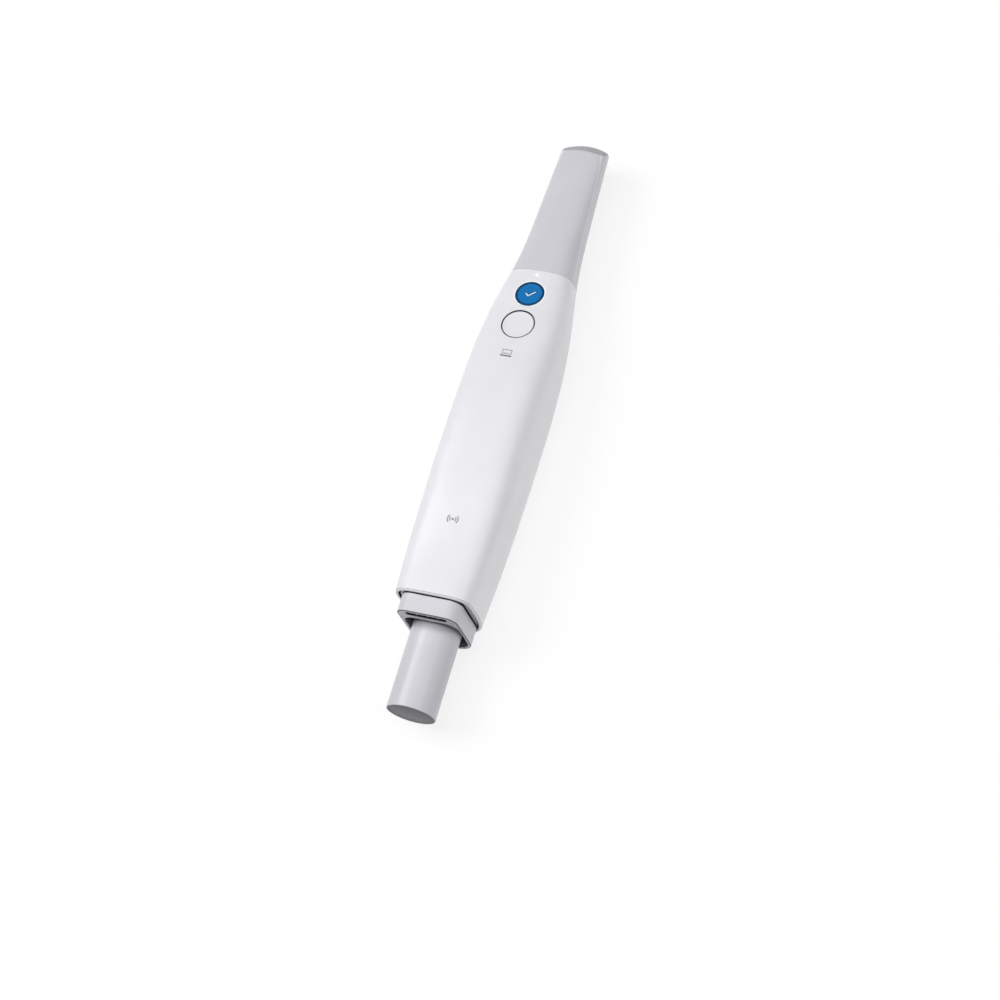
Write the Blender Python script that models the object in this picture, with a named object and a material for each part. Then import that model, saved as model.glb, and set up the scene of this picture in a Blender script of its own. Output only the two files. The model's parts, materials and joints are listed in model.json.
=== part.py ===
"""A cordless intraoral scanner, lying on its belly with its buttons up.

Lengths are measured along Y from the battery's end face to the end of the scanning tip. X is across the
scanner, and Z is the height over the plane that its belly rests on. An empty carries every part, so that
the finished scanner stands centred over the origin.
"""

import math
from collections import namedtuple

import bmesh
import bpy
import numpy as np
from mathutils import Matrix, Vector

# The form is drawn 317.4 units long, and the real scanner is 313 mm long.
UNIT = 0.313 / 317.4

# Lengths along the scanner
BATTERY_STANDOUT = 42.7 * UNIT
COLLAR_STANDOUT = 9.6 * UNIT
BODY_LENGTH = 182.7 * UNIT
TIP_LENGTH = 82.4 * UNIT
NECK_LENGTH = 59.9103 * UNIT
TIP_END_REACH = 4.4 * UNIT

# The outer form
GRIP_HALF_WIDTH = 22.2 * UNIT
GRIP_HEIGHT = 47.4 * UNIT
SKIN_POINTS = 36

# The end of the tip: upright below, slanted like the mirror above, and bowed across
TIP_SLANT_Z = 22.4 * UNIT
TIP_BOW_RADIUS = 26.0 * UNIT
SKIN_BEND_X = 10.0 * UNIT
TIP_EDGE = 0.9 * UNIT
TIP_CAP_Z = 18.5 * UNIT
MIRROR_SETBACK = 2.6 * UNIT

# Walls and clearances
BODY_WALL = 1.5 * UNIT
TIP_WALL = 1.6 * UNIT
CHASSIS_WALL = 1.6 * UNIT
PLATE = 2.0 * UNIT
GAP = 0.3 * UNIT

# Battery, its bay and the collar
BATTERY_RADIUS = 12.3 * UNIT
BATTERY_AXIS_Z = 20.8 * UNIT
BATTERY_LENGTH = 82.0 * UNIT
BATTERY_WALL = 1.2 * UNIT
BATTERY_DISC = 1.4 * UNIT
BATTERY_CAP_LENGTH = 4.0 * UNIT
PLUG_LENGTH = 4.9 * UNIT
CELL_POLE = 0.8 * UNIT
CELL_RADIUS = 10.6 * UNIT
CONTACT_ROOM = 8.0 * UNIT
BAY_CLEARANCE = 0.45 * UNIT
BAY_WALL = 1.0 * UNIT
COLLAR_HALF_WIDTH = 15.6 * UNIT
COLLAR_STEP = 2.7 * UNIT
COLLAR_BELLY = 2.4 * UNIT
COLLAR_WALL = 1.5 * UNIT
COLLAR_CORNER = 4.2 * UNIT
COLLAR_KEEL = 10.6 * UNIT
COLLAR_SEAT = 3.0 * UNIT
COLLAR_FLANGE = 4.0 * UNIT
VENT_HALF_WIDTH = 10.5 * UNIT
VENT_HEIGHT = 4.6 * UNIT
VENT_RIB = 1.1 * UNIT
VENT_BROW = 1.3 * UNIT
VENT_RECESS = 1.0 * UNIT
VENT_SLOTS = 4

# Buttons and the status light
SCAN_BUTTON_RADIUS = 8.2 * UNIT
CHECK_BUTTON_RADIUS = 7.1 * UNIT
SCAN_BUTTON_SPAN = 33.3 * UNIT
CHECK_BUTTON_SPAN = 14.4 * UNIT
LIGHT_SPAN = 2.7 * UNIT
LIGHT_RADIUS = 0.7 * UNIT
BUTTON_TRAVEL = 0.4 * UNIT
BUTTON_RING_GAP = 0.5 * UNIT
BUTTON_RECESS = 0.25 * UNIT
BUTTON_FLANGE = 1.0 * UNIT
BUTTON_FLANGE_DEPTH = 2.4 * UNIT
STEM_RADIUS = 1.6 * UNIT
STEM_DEPTH = 3.8 * UNIT
PLUNGER_RADIUS = 1.3 * UNIT
PLUNGER_LENGTH = 1.4 * UNIT
SWITCH_HEIGHT = 1.8 * UNIT
SWITCH_HALF_WIDTH = 3.0 * UNIT
BOARD_THICKNESS = 1.0 * UNIT
KEYPAD_HALF_WIDTH = 8.5 * UNIT

# Optics
ENGINE_AXIS_Z = 23.6 * UNIT
BARREL_RADIUS = 4.4 * UNIT
BARREL_WALL = 1.0 * UNIT
BARREL_LENGTH = 62.0 * UNIT
CAMERA_OFFSET = 9.2 * UNIT
CAMERA_HALF_WIDTH = 3.6 * UNIT
CAMERA_HEIGHT = 9.0 * UNIT
CAMERA_DEPTH = 10.0 * UNIT
CAMERA_LENS_RADIUS = 2.9 * UNIT
CAMERA_LENS_LENGTH = 15.0 * UNIT
NOSE_LENGTH = 46.0 * UNIT
NOSE_SEAT = 4.4 * UNIT
NOSE_WALL = 1.5 * UNIT
NOSE_DRAFT = 0.9 * UNIT
WINDOW_THICKNESS = 1.4 * UNIT
SEAL_THICKNESS = 1.2 * UNIT
MIRROR_THICKNESS = 1.0 * UNIT
SCAN_WINDOW_LENGTH = 13.0 * UNIT
SCAN_WINDOW_HALF_WIDTH = 6.4 * UNIT

# Chassis and electronics
TROUGH_EDGE_Z = 17.0 * UNIT
BENCH_THICKNESS = 1.6 * UNIT
BENCH_LENGTH = 57.0 * UNIT
SINK_HALF_WIDTH = 10.0 * UNIT
SINK_HEIGHT = 14.0 * UNIT
SINK_LENGTH = 11.0 * UNIT
SINK_FINS = 7
MAIN_BOARD_LENGTH = 70.0 * UNIT
SCREW_RADIUS = 0.9 * UNIT
SCREW_HEAD_RADIUS = 1.7 * UNIT
SCREW_HEAD_HEIGHT = 1.3 * UNIT
SCREW_LENGTH = 4.0 * UNIT
BOSS_RADIUS = 2.3 * UNIT
BULKHEAD_TO_BOARD = 1.0 * UNIT
FAN_HALF_WIDTH = 10.4 * UNIT
FAN_BLADES = 9
FAN_COVER = 0.8 * UNIT

# Places along Y
RIM_Y = BATTERY_STANDOUT + COLLAR_STANDOUT
SEAM_Y = RIM_Y + BODY_LENGTH
END_Y = SEAM_Y + TIP_LENGTH
SCAN_BUTTON_Y = SEAM_Y - SCAN_BUTTON_SPAN
CHECK_BUTTON_Y = SEAM_Y - CHECK_BUTTON_SPAN
LIGHT_Y = SEAM_Y - LIGHT_SPAN
COLLAR_BACK_Y = RIM_Y + COLLAR_SEAT + COLLAR_FLANGE
FAN_Y = COLLAR_BACK_Y + GAP + PLATE + GAP
FAN_END_Y = FAN_Y + 2 * FAN_HALF_WIDTH
BULKHEAD_Y = max(BATTERY_LENGTH + CONTACT_ROOM, FAN_END_Y + GAP)
MAIN_BOARD_Y = BULKHEAD_Y + PLATE + BULKHEAD_TO_BOARD
NOSE_BACK_Y = SEAM_Y - NOSE_SEAT
NOSE_FRONT_Y = SEAM_Y + NOSE_LENGTH
BENCH_END_Y = NOSE_BACK_Y - GAP
BENCH_Y = max(BENCH_END_Y - BENCH_LENGTH, MAIN_BOARD_Y + MAIN_BOARD_LENGTH + GAP)
SINK_Y = BENCH_Y + 1.0 * UNIT
LIGHT_BOARD_Y = SINK_Y + SINK_LENGTH + GAP
BARREL_Y = LIGHT_BOARD_Y + BOARD_THICKNESS + GAP + 1.4 * UNIT
CAMERA_Y = SCAN_BUTTON_Y + 6.0 * UNIT

# Radii, heights and insets that follow from the sizes above
BAY_BORE = BATTERY_RADIUS + BAY_CLEARANCE
BAY_RADIUS = BAY_BORE + BAY_WALL
INNER = BODY_WALL + GAP
CELL_LENGTH = BATTERY_LENGTH - BATTERY_CAP_LENGTH - PLUG_LENGTH - CELL_POLE - BATTERY_DISC - 3 * GAP
NOSE_INSET = max(BODY_WALL, TIP_WALL) + GAP
NOSE_BORE = NOSE_INSET + NOSE_WALL
BENCH_TOP = TROUGH_EDGE_Z + GAP + BENCH_THICKNESS
COLLAR_TOP = GRIP_HEIGHT - COLLAR_STEP
OPENING_TOP = BATTERY_AXIS_Z + BATTERY_RADIUS + 2.9 * UNIT
VENT_Z = COLLAR_TOP - VENT_BROW - VENT_HEIGHT / 2

Station = namedtuple("Station", "y half_width top belly crown keel waist")

# The outer form from rim to tip as shares: of the length, of the grip's half width, and of the grip's
# height for top and belly. Crown and keel are how square the upper and lower halves are, and waist is the
# height of the widest line as a share of the section.
FORM = (
    (0.000, 0.890, 0.994, 0.000, 4.0, 3.1, 0.66),
    (0.087, 0.947, 0.982, -0.007, 4.0, 3.2, 0.64),
    (0.183, 0.981, 0.989, -0.007, 4.0, 3.4, 0.60),
    (0.279, 0.999, 0.997, -0.007, 4.0, 3.5, 0.57),
    (0.375, 0.998, 1.000, -0.006, 3.9, 3.6, 0.53),
    (0.471, 0.997, 0.967, 0.030, 3.7, 3.6, 0.52),
    (0.547, 0.983, 0.908, 0.118, 3.4, 3.5, 0.51),
    (0.605, 0.932, 0.857, 0.195, 3.2, 3.4, 0.50),
    (0.662, 0.835, 0.809, 0.244, 3.1, 3.3, 0.50),
    (0.720, 0.723, 0.765, 0.258, 2.9, 3.3, 0.49),
    (0.797, 0.641, 0.712, 0.249, 2.9, 3.1, 0.54),
    (0.893, 0.591, 0.662, 0.245, 2.9, 2.8, 0.60),
    (1.000, 0.546, 0.594, 0.266, 3.0, 2.6, 0.66),
)


def natural_curve(places, values):
    """A smooth curve through the values, as a function of the place."""
    x, y = np.array(places), np.array(values)
    step = np.diff(x)
    matrix, right = np.eye(len(x)), np.zeros(len(x))
    for i in range(1, len(x) - 1):
        matrix[i, i - 1 : i + 2] = step[i - 1], 2 * (step[i - 1] + step[i]), step[i]
        right[i] = 6 * ((y[i + 1] - y[i]) / step[i] - (y[i] - y[i - 1]) / step[i - 1])
    bend = np.linalg.solve(matrix, right)

    def at(place):
        i = int(np.clip(np.searchsorted(x, place) - 1, 0, len(step) - 1))
        ahead, behind, h = x[i + 1] - place, place - x[i], step[i]
        cubic = (bend[i] * ahead**3 + bend[i + 1] * behind**3) / (6 * h)
        start, end = y[i] / h - bend[i] * h / 6, y[i + 1] / h - bend[i + 1] * h / 6
        return float(cubic + start * ahead + end * behind)

    return at


SHARES, *COLUMNS = zip(*FORM)
CURVES = [natural_curve(SHARES, column) for column in COLUMNS]
MIDWAY = [(a + b) / 2 for a, b in zip(SHARES, SHARES[1:]) if a > 0.3 and b < 0.8]

# Where four of the form's shares lie. The neck keeps its length when the body's length changes.
KNOTS = (
    (RIM_Y, 0.0),
    (SEAM_Y - NECK_LENGTH, 0.471),
    (SEAM_Y, 182.7 / 260.7),
    (END_Y - TIP_END_REACH, 1.0),
)
RINGS = np.interp(sorted([*SHARES, *MIDWAY]), [share for _, share in KNOTS], [y for y, _ in KNOTS])


def form_share(y):
    """How far along the form's table y lies. It runs on a little past the last section."""
    here = max(y, RIM_Y)
    for (y0, share0), (y1, share1) in zip(KNOTS, KNOTS[1:]):
        share = share0 + (share1 - share0) * (here - y0) / (y1 - y0)
        if here <= y1:
            break
    return min(share, 1.03)


def section(y):
    """The outer form's section at y."""
    share = form_share(y)
    half_width, top, belly, crown, keel, waist = (curve(share) for curve in CURVES)
    return Station(y, half_width * GRIP_HALF_WIDTH, top * GRIP_HEIGHT, belly * GRIP_HEIGHT, crown, keel, waist)


def stops(start, end):
    """The start, the shared ring places between, and the end. All skins bend at the same places."""
    return [start] + [float(y) for y in RINGS if start + 0.8 * UNIT < y < end - 0.8 * UNIT] + [end]


def middle(s):
    """The height of a section's widest line."""
    return s.belly + s.waist * (s.top - s.belly)


def section_point(y, angle, inset):
    """The point of the section at an angle, seen from its widest line, on a skin set in by inset."""
    s = section(y)
    above = math.sin(angle) > 0
    power = 2 / (s.crown if above else s.keel)
    height = (s.top - middle(s) if above else middle(s) - s.belly) - inset
    x = (s.half_width - inset) * math.copysign(abs(math.cos(angle)) ** power, math.cos(angle))
    z = middle(s) + height * math.copysign(abs(math.sin(angle)) ** power, math.sin(angle))
    return Vector((x, y, max(z, inset)))


def outline(y, inset):
    """The closed outline of the skin at y, set in by inset."""
    return [section_point(y, 2 * math.pi * k / SKIN_POINTS, inset) for k in range(SKIN_POINTS)]


def roof(y, x, inset):
    """The height of the skin's upper side over x."""
    s = section(y)
    across = min(abs(x) / (s.half_width - inset), 1)
    return middle(s) + (s.top - middle(s) - inset) * (1 - across**s.crown) ** (1 / s.crown)


def floor_height(y, x, inset):
    """The height of the skin's lower side over x."""
    s = section(y)
    across = min(abs(x) / (s.half_width - inset), 1)
    return max(middle(s) - (middle(s) - s.belly - inset) * (1 - across**s.keel) ** (1 / s.keel), inset)


def side(y, z, inset):
    """Half the width of the skin's lower half at height z."""
    s = section(y)
    down = min(max(middle(s) - z, 0) / (middle(s) - s.belly - inset), 1)
    return (s.half_width - inset) * (1 - down**s.keel) ** (1 / s.keel)


def material(name, colour, roughness, metallic=0.0, alpha=1.0):
    """A plain Principled material."""
    made = bpy.data.materials.new(name)
    made.use_nodes = True
    shader = made.node_tree.nodes["Principled BSDF"]
    shader.inputs["Base Color"].default_value = (*colour, 1.0)
    shader.inputs["Roughness"].default_value = roughness
    shader.inputs["Metallic"].default_value = metallic
    shader.inputs["Alpha"].default_value = alpha
    made.diffuse_color = (*colour, alpha)
    return made


def make_materials():
    """Every finish of the scanner, by name."""
    return {
        "white": material("white_housing", (0.84, 0.85, 0.87), 0.3),
        "tip": material("tip_plastic", (0.62, 0.62, 0.66), 0.35),
        "collar": material("collar_plastic", (0.60, 0.60, 0.64), 0.4),
        "case": material("battery_case", (0.58, 0.58, 0.62), 0.35),
        "end": material("battery_end", (0.16, 0.16, 0.18), 0.45),
        "blue": material("button_blue", (0.01, 0.17, 0.50), 0.3),
        "button": material("button_white", (0.86, 0.87, 0.88), 0.3),
        "lamp": material("status_lens", (0.95, 0.95, 0.90), 0.2),
        "glass": material("window_glass", (0.75, 0.85, 0.88), 0.05, alpha=0.35),
        "mirror": material("mirror_coating", (0.85, 0.86, 0.88), 0.05, 1.0),
        "black": material("black_plastic", (0.03, 0.03, 0.035), 0.5),
        "board": material("circuit_board", (0.02, 0.16, 0.08), 0.5),
        "alloy": material("cast_alloy", (0.55, 0.56, 0.58), 0.45, 1.0),
        "steel": material("screw_steel", (0.60, 0.60, 0.60), 0.3, 1.0),
        "gold": material("contact_gold", (0.80, 0.58, 0.22), 0.25, 1.0),
        "rubber": material("seal_rubber", (0.05, 0.05, 0.055), 0.8),
        "wrap": material("cell_wrap", (0.10, 0.22, 0.36), 0.45),
    }


def add_mesh(name, points, faces, finish, origin=(0, 0, 0)):
    """A closed mesh as an object whose own origin is the given point of the scanner."""
    origin = Vector(origin)
    mesh = bpy.data.meshes.new(name)
    mesh.from_pydata([Vector(p) - origin for p in points], [], faces)
    work = bmesh.new()
    work.from_mesh(mesh)
    bmesh.ops.remove_doubles(work, verts=work.verts, dist=1e-7)
    bmesh.ops.recalc_face_normals(work, faces=work.faces)
    work.to_mesh(mesh)
    work.free()
    mesh.shade_smooth()
    mesh.set_sharp_from_angle(angle=math.radians(35))
    mesh.materials.append(finish)
    made = bpy.data.objects.new(name, mesh)
    made.location = origin
    made.parent = bpy.data.objects["scanner"]
    bpy.context.scene.collection.objects.link(made)
    return made


def loft(name, rings, finish, looped=False, origin=(0, 0, 0)):
    """A body through rings of as many points each. It has end faces, or is looped from last ring to first."""
    count = len(rings[0])
    points = [p for ring in rings for p in ring]
    faces = []
    for r in range(len(rings) if looped else len(rings) - 1):
        here, there = r * count, (r + 1) % len(rings) * count
        for k in range(count):
            n = (k + 1) % count
            faces.append((here + k, here + n, there + n, there + k))
    if not looped:
        faces.append(tuple(range(count)))
        faces.append(tuple(range(len(points) - count, len(points))))
    return add_mesh(name, points, faces, finish, origin)


def slab(name, corners, y0, y1, finish):
    """A prism along Y from an outline of (x, z) corners."""
    return loft(name, [[Vector((x, y, z)) for x, z in corners] for y in (y0, y1)], finish)


def plate(name, corners, z0, z1, finish, origin=(0, 0, 0)):
    """A prism along Z from an outline of (x, y) corners."""
    return loft(name, [[Vector((x, y, z)) for x, y in corners] for z in (z0, z1)], finish, origin=origin)


def turned(name, profile, frame, finish, sides=32, looped=False, origin=(0, 0, 0)):
    """A body turned round the frame's Z axis from (radius, height) points. A looped profile leaves a bore."""
    turns = [2 * math.pi * k / sides for k in range(sides)]
    rings = [[frame @ Vector((r * math.cos(t), r * math.sin(t), h)) for t in turns] for r, h in profile]
    return loft(name, rings, finish, looped, origin)


def rounded(x0, x1, y0, y1, low, high=None, steps=4):
    """The corners of a rectangle with rounded corners, of radius low at y0 and high at y1."""
    high = low if high is None else high
    corners = []
    places = ((x1 - high, y1 - high, high), (x0 + high, y1 - high, high))
    places += ((x0 + low, y0 + low, low), (x1 - low, y0 + low, low))
    for quarter, (x, y, radius) in enumerate(places):
        for k in range(steps + 1):
            angle = (quarter + k / steps) * math.pi / 2
            corners.append((x + radius * math.cos(angle), y + radius * math.sin(angle)))
    return corners


def combine(target, tool, operation="DIFFERENCE"):
    """Cut the target with the tool, or join the tool to it."""
    modifier = target.modifiers.new(tool.name, "BOOLEAN")
    modifier.operation = operation
    modifier.object = tool
    tool.hide_render = True
    tool.display_type = "WIRE"


def axis_y(y=0.0, z=BATTERY_AXIS_Z, x=0.0):
    """A frame whose Z axis runs along the scanner."""
    return Matrix.Translation((x, y, z)) @ Matrix.Rotation(-math.pi / 2, 4, "X")


def upright(x, y, z):
    """A frame whose Z axis points up."""
    return Matrix.Translation((x, y, z))


def keypad_frame(y):
    """The frame of a button on the top line: its Z axis is the press direction, turned outwards."""
    back, front = (Vector((0, place, section(place).top)) for place in (SCAN_BUTTON_Y, CHECK_BUTTON_Y))
    slope = math.atan2(front.z - back.z, front.y - back.y)
    return Matrix.Translation((0, y, section(y).top)) @ Matrix.Rotation(slope, 4, "X")


def spread(start, end, count):
    """Evenly spaced places from start to end."""
    return [start + (end - start) * k / (count - 1) for k in range(count)]


def make_body_shell(finish):
    """The grip: one moulded sleeve with holes for the buttons and the status light."""
    soft = 0.5 * UNIT
    outer = [outline(RIM_Y, soft), outline(RIM_Y + 0.3 * soft, 0.3 * soft)]
    outer += [outline(y, 0) for y in stops(RIM_Y + soft, SEAM_Y - 0.5 * soft)]
    outer.append(outline(SEAM_Y, 0.5 * soft))
    inner = [outline(y, BODY_WALL) for y in reversed(stops(RIM_Y, SEAM_Y))]
    shell = loft("body_shell", outer + inner, finish, looped=True)
    reach = BODY_WALL + 2.5 * UNIT
    for name, y, radius in (
        ("scan_button_hole", SCAN_BUTTON_Y, SCAN_BUTTON_RADIUS + BUTTON_RING_GAP),
        ("check_button_hole", CHECK_BUTTON_Y, CHECK_BUTTON_RADIUS + GAP),
        ("status_light_hole", LIGHT_Y, LIGHT_RADIUS + GAP),
    ):
        hole = turned(name, [(0, -reach), (radius, -reach), (radius, reach), (0, reach)], keypad_frame(y), finish)
        combine(shell, hole)


def mirror_plane_y(z, offset=0.0):
    """Where the plane of the slanted mirror seat lies at height z, moved back along Y by offset."""
    floor = section(END_Y).belly + TIP_WALL
    return END_Y - TIP_WALL - MIRROR_SETBACK - (z - floor) - offset


def slanted_ring(inset, offset):
    """The tip's inner outline, cut along the plane of the mirror."""
    ring = []
    for k in range(SKIN_POINTS):
        turn = 2 * math.pi * k / SKIN_POINTS
        point = section_point(END_Y, turn, inset)
        for _ in range(5):
            point = section_point(mirror_plane_y(point.z, offset), turn, inset)
        point.y = mirror_plane_y(point.z, offset)
        ring.append(point)
    return ring


def tip_end_y(x, z):
    """Where the outer end face of the tip lies over a point."""
    return END_Y - max(0, z - TIP_SLANT_Z) - x * x / (2 * TIP_BOW_RADIUS)


def tip_end_ring(inset, offset, start, share=1.0):
    """A ring of the skin near the end face, or a share of the way there from the start."""
    ring = []
    for k in range(SKIN_POINTS):
        turn = 2 * math.pi * k / SKIN_POINTS
        point = section_point(END_Y, turn, inset)
        for _ in range(5):
            point = section_point(tip_end_y(point.x, point.z) - offset, turn, inset)
        ring.append(section_point(start + share * (point.y - start), turn, inset))
    return ring


def tip_cap_ring(ring, share):
    """A smaller ring on the end face, drawn in towards its middle."""
    points = [(share * p.x, TIP_CAP_Z + share * (p.z - TIP_CAP_Z)) for p in ring]
    return [Vector((x, tip_end_y(x, z), z)) for x, z in points]


def make_tip(finishes):
    """The hollow tip: its bore ends at a slanted seat, with a window under it in the belly."""
    start, soft, edge = SEAM_Y + GAP, 0.4 * UNIT, TIP_EDGE
    outer = [outline(start, soft)]
    bend = tip_end_y(SKIN_BEND_X, GRIP_HEIGHT * FORM[-1][2]) - 2 * edge
    outer += [outline(y, 0) for y in stops(start + soft, bend)]
    outer += [tip_end_ring(0, edge, bend, share) for share in (0.5, 1.0)]
    outer.append(tip_end_ring(0.3 * edge, 0.3 * edge, bend))
    rim = tip_end_ring(edge, 0, bend)
    outer += [rim, tip_cap_ring(rim, 0.6)]
    outer.append([Vector((p.x, END_Y, p.z)) for p in tip_cap_ring(rim, 0.2)])
    seat = slanted_ring(TIP_WALL, 0)
    inner = [outline(y, TIP_WALL) for y in stops(start, min(p.y for p in seat) - 4 * UNIT)]
    tip = loft("scan_tip", list(reversed(outer)) + inner + [seat], finishes["tip"])
    floor = section(END_Y).belly + TIP_WALL
    front = mirror_plane_y(floor + 0.4 * UNIT) - 0.2 * UNIT
    half = SCAN_WINDOW_HALF_WIDTH
    window = rounded(-half, half, front - SCAN_WINDOW_LENGTH, front, 2.4 * UNIT)
    combine(tip, plate("scan_window_cut", window, floor - 6 * UNIT, floor + 0.4 * UNIT, finishes["tip"]))
    slope = math.sqrt(2)
    rings = [slanted_ring(TIP_WALL + GAP, d) for d in (GAP * slope, (GAP + MIRROR_THICKNESS) * slope)]
    loft("tip_mirror", rings, finishes["mirror"])


def make_button(name, y, radius, finish):
    """A button cap with a retaining flange under the shell and a stem to its switch."""
    frame = keypad_frame(y)
    top, base = -BUTTON_RECESS, -BUTTON_FLANGE_DEPTH
    wide = radius + BUTTON_FLANGE
    profile = [(0, top), (radius - 0.3 * UNIT, top), (radius, top - 0.3 * UNIT), (radius, base)]
    profile += [(wide, base), (wide, base - 0.7 * UNIT), (STEM_RADIUS, base - 0.7 * UNIT)]
    profile += [(STEM_RADIUS, -STEM_DEPTH), (0, -STEM_DEPTH)]
    turned(name, profile, frame, finish, origin=frame.translation)


def make_switch(name, y, finishes):
    """A tact switch: a housing with a well, and the plunger that the button's stem presses."""
    frame = keypad_frame(y)
    top = -STEM_DEPTH - GAP
    low = top - PLUNGER_LENGTH
    profile = [(0, top), (PLUNGER_RADIUS, top), (PLUNGER_RADIUS, low), (0, low)]
    turned(f"{name}_plunger", profile, frame, finishes["button"], sides=20, origin=frame.translation)
    upper = top - 0.5 * UNIT
    half = SWITCH_HALF_WIDTH
    corners = rounded(-half, half, -half, half, 0.5 * UNIT, steps=2)
    rings = [[frame @ Vector((x, v, h)) for x, v in corners] for h in (upper, upper - SWITCH_HEIGHT)]
    housing = loft(f"{name}_switch", rings, finishes["black"])
    well = PLUNGER_RADIUS + GAP
    depth = low - BUTTON_TRAVEL - GAP
    profile = [(0, upper + 1 * UNIT), (well, upper + 1 * UNIT), (well, depth), (0, depth)]
    combine(housing, turned(f"{name}_switch_well", profile, frame, finishes["black"], sides=20))


def keypad_depth():
    """How deep the keypad board's upper side lies under the top line."""
    return STEM_DEPTH + GAP + 0.5 * UNIT + SWITCH_HEIGHT + GAP


def make_keypad(finishes):
    """The board under the buttons, with the status light's lamp and its light guide."""
    frame = keypad_frame(SCAN_BUTTON_Y)
    slope = math.cos(frame.to_euler().x)
    ahead = (LIGHT_Y + 1.8 * UNIT - SCAN_BUTTON_Y) / slope
    corners = rounded(-KEYPAD_HALF_WIDTH, KEYPAD_HALF_WIDTH, -8.0 * UNIT, ahead, 1.5 * UNIT, steps=2)
    top = -keypad_depth()
    rings = [[frame @ Vector((x, v, h)) for x, v in corners] for h in (top, top - BOARD_THICKNESS)]
    loft("keypad_board", rings, finishes["board"])
    light = keypad_frame(LIGHT_Y)
    end = top + 1.4 * UNIT
    guide = [(0, 0.05 * UNIT), (0.8 * LIGHT_RADIUS, 0.02 * UNIT), (LIGHT_RADIUS, -0.15 * UNIT), (LIGHT_RADIUS, end), (0, end)]
    turned("status_light", guide, light, finishes["lamp"], sides=20)
    lamp = rounded(-0.8 * UNIT, 0.8 * UNIT, -0.8 * UNIT, 0.8 * UNIT, 0.2 * UNIT, steps=1)
    rings = [[light @ Vector((x, v, h)) for x, v in lamp] for h in (end - GAP, top + GAP)]
    loft("status_lamp", rings, finishes["lamp"])


def make_collar(finishes):
    """The rear end piece: a bezel round the battery with a vent over it, and a flange inside the shell."""
    finish = finishes["collar"]
    start = BATTERY_STANDOUT
    half, top, corner = COLLAR_HALF_WIDTH, COLLAR_TOP, COLLAR_CORNER
    rings = []
    for along, inset in ((0, 0.9), (0.15, 0.45), (0.5, 0.12), (1.0, 0), (COLLAR_STANDOUT / UNIT + 4.0, 0)):
        i = inset * UNIT
        shape = rounded(-half + i, half - i, COLLAR_BELLY + i, top - i, COLLAR_KEEL - i, corner - i, steps=6)
        rings.append([Vector((x, start + along * UNIT, z)) for x, z in shape])
    collar = loft("rear_collar", rings, finish)
    rings = [outline(y, INNER) for y in (RIM_Y + COLLAR_SEAT, COLLAR_BACK_Y)]
    combine(collar, loft("collar_flange", rings, finish), "UNION")
    wall = COLLAR_WALL
    rings = []
    for y, grow in ((start - 1 * UNIT, 0.6), (start, 0.6), (start + 0.6 * UNIT, 0), (COLLAR_BACK_Y + 1 * UNIT, 0)):
        g = grow * UNIT
        shape = rounded(
            -half + wall - g, half - wall + g, COLLAR_BELLY + wall - g, OPENING_TOP + g,
            COLLAR_KEEL - wall + g, 7 * UNIT + g, steps=6,
        )
        rings.append([Vector((x, y, z)) for x, z in shape])
    combine(collar, loft("battery_opening", rings, finish))
    z0, z1 = VENT_Z - VENT_HEIGHT / 2, VENT_Z + VENT_HEIGHT / 2
    shape = rounded(-VENT_HALF_WIDTH, VENT_HALF_WIDTH, z0, z1, 0.9 * UNIT, steps=3)
    combine(collar, slab("vent_recess", shape, start - 1 * UNIT, start + VENT_RECESS, finish))
    width = (2 * VENT_HALF_WIDTH - (VENT_SLOTS - 1) * VENT_RIB) / VENT_SLOTS
    for k in range(VENT_SLOTS):
        x0 = -VENT_HALF_WIDTH + k * (width + VENT_RIB)
        shape = rounded(x0, x0 + width, z0, z1, 0.6 * UNIT, steps=2)
        combine(collar, slab(f"vent_slot_{k + 1}", shape, start, COLLAR_BACK_Y + 1 * UNIT, finish))
    for number, (x, z) in enumerate(collar_screw_places(), 1):
        low, high, radius = COLLAR_BACK_Y - SCREW_LENGTH, COLLAR_BACK_Y + 1 * UNIT, SCREW_RADIUS + GAP
        profile = [(0, low), (radius, low), (radius, high), (0, high)]
        combine(collar, turned(f"collar_screw_hole_{number}", profile, axis_y(0, z, x), finish, sides=16))


def collar_screw_places():
    """The screws that hold the bay to the collar stand beside the vent."""
    x = (VENT_HALF_WIDTH + COLLAR_HALF_WIDTH) / 2 + 0.2 * UNIT
    return ((-x, VENT_Z - 0.5 * UNIT), (x, VENT_Z - 0.5 * UNIT))


def make_screw(name, frame, finish):
    """A pan head screw along the frame's Z axis, with the underside of its head at the frame's origin."""
    head = SCREW_HEAD_RADIUS
    profile = [(0, SCREW_HEAD_HEIGHT), (0.6 * head, SCREW_HEAD_HEIGHT), (head, 0.5 * SCREW_HEAD_HEIGHT), (head, 0)]
    profile += [(SCREW_RADIUS, 0), (SCREW_RADIUS, -SCREW_LENGTH + 0.5 * UNIT), (0, -SCREW_LENGTH)]
    turned(name, profile, frame, finish, sides=16)


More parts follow.
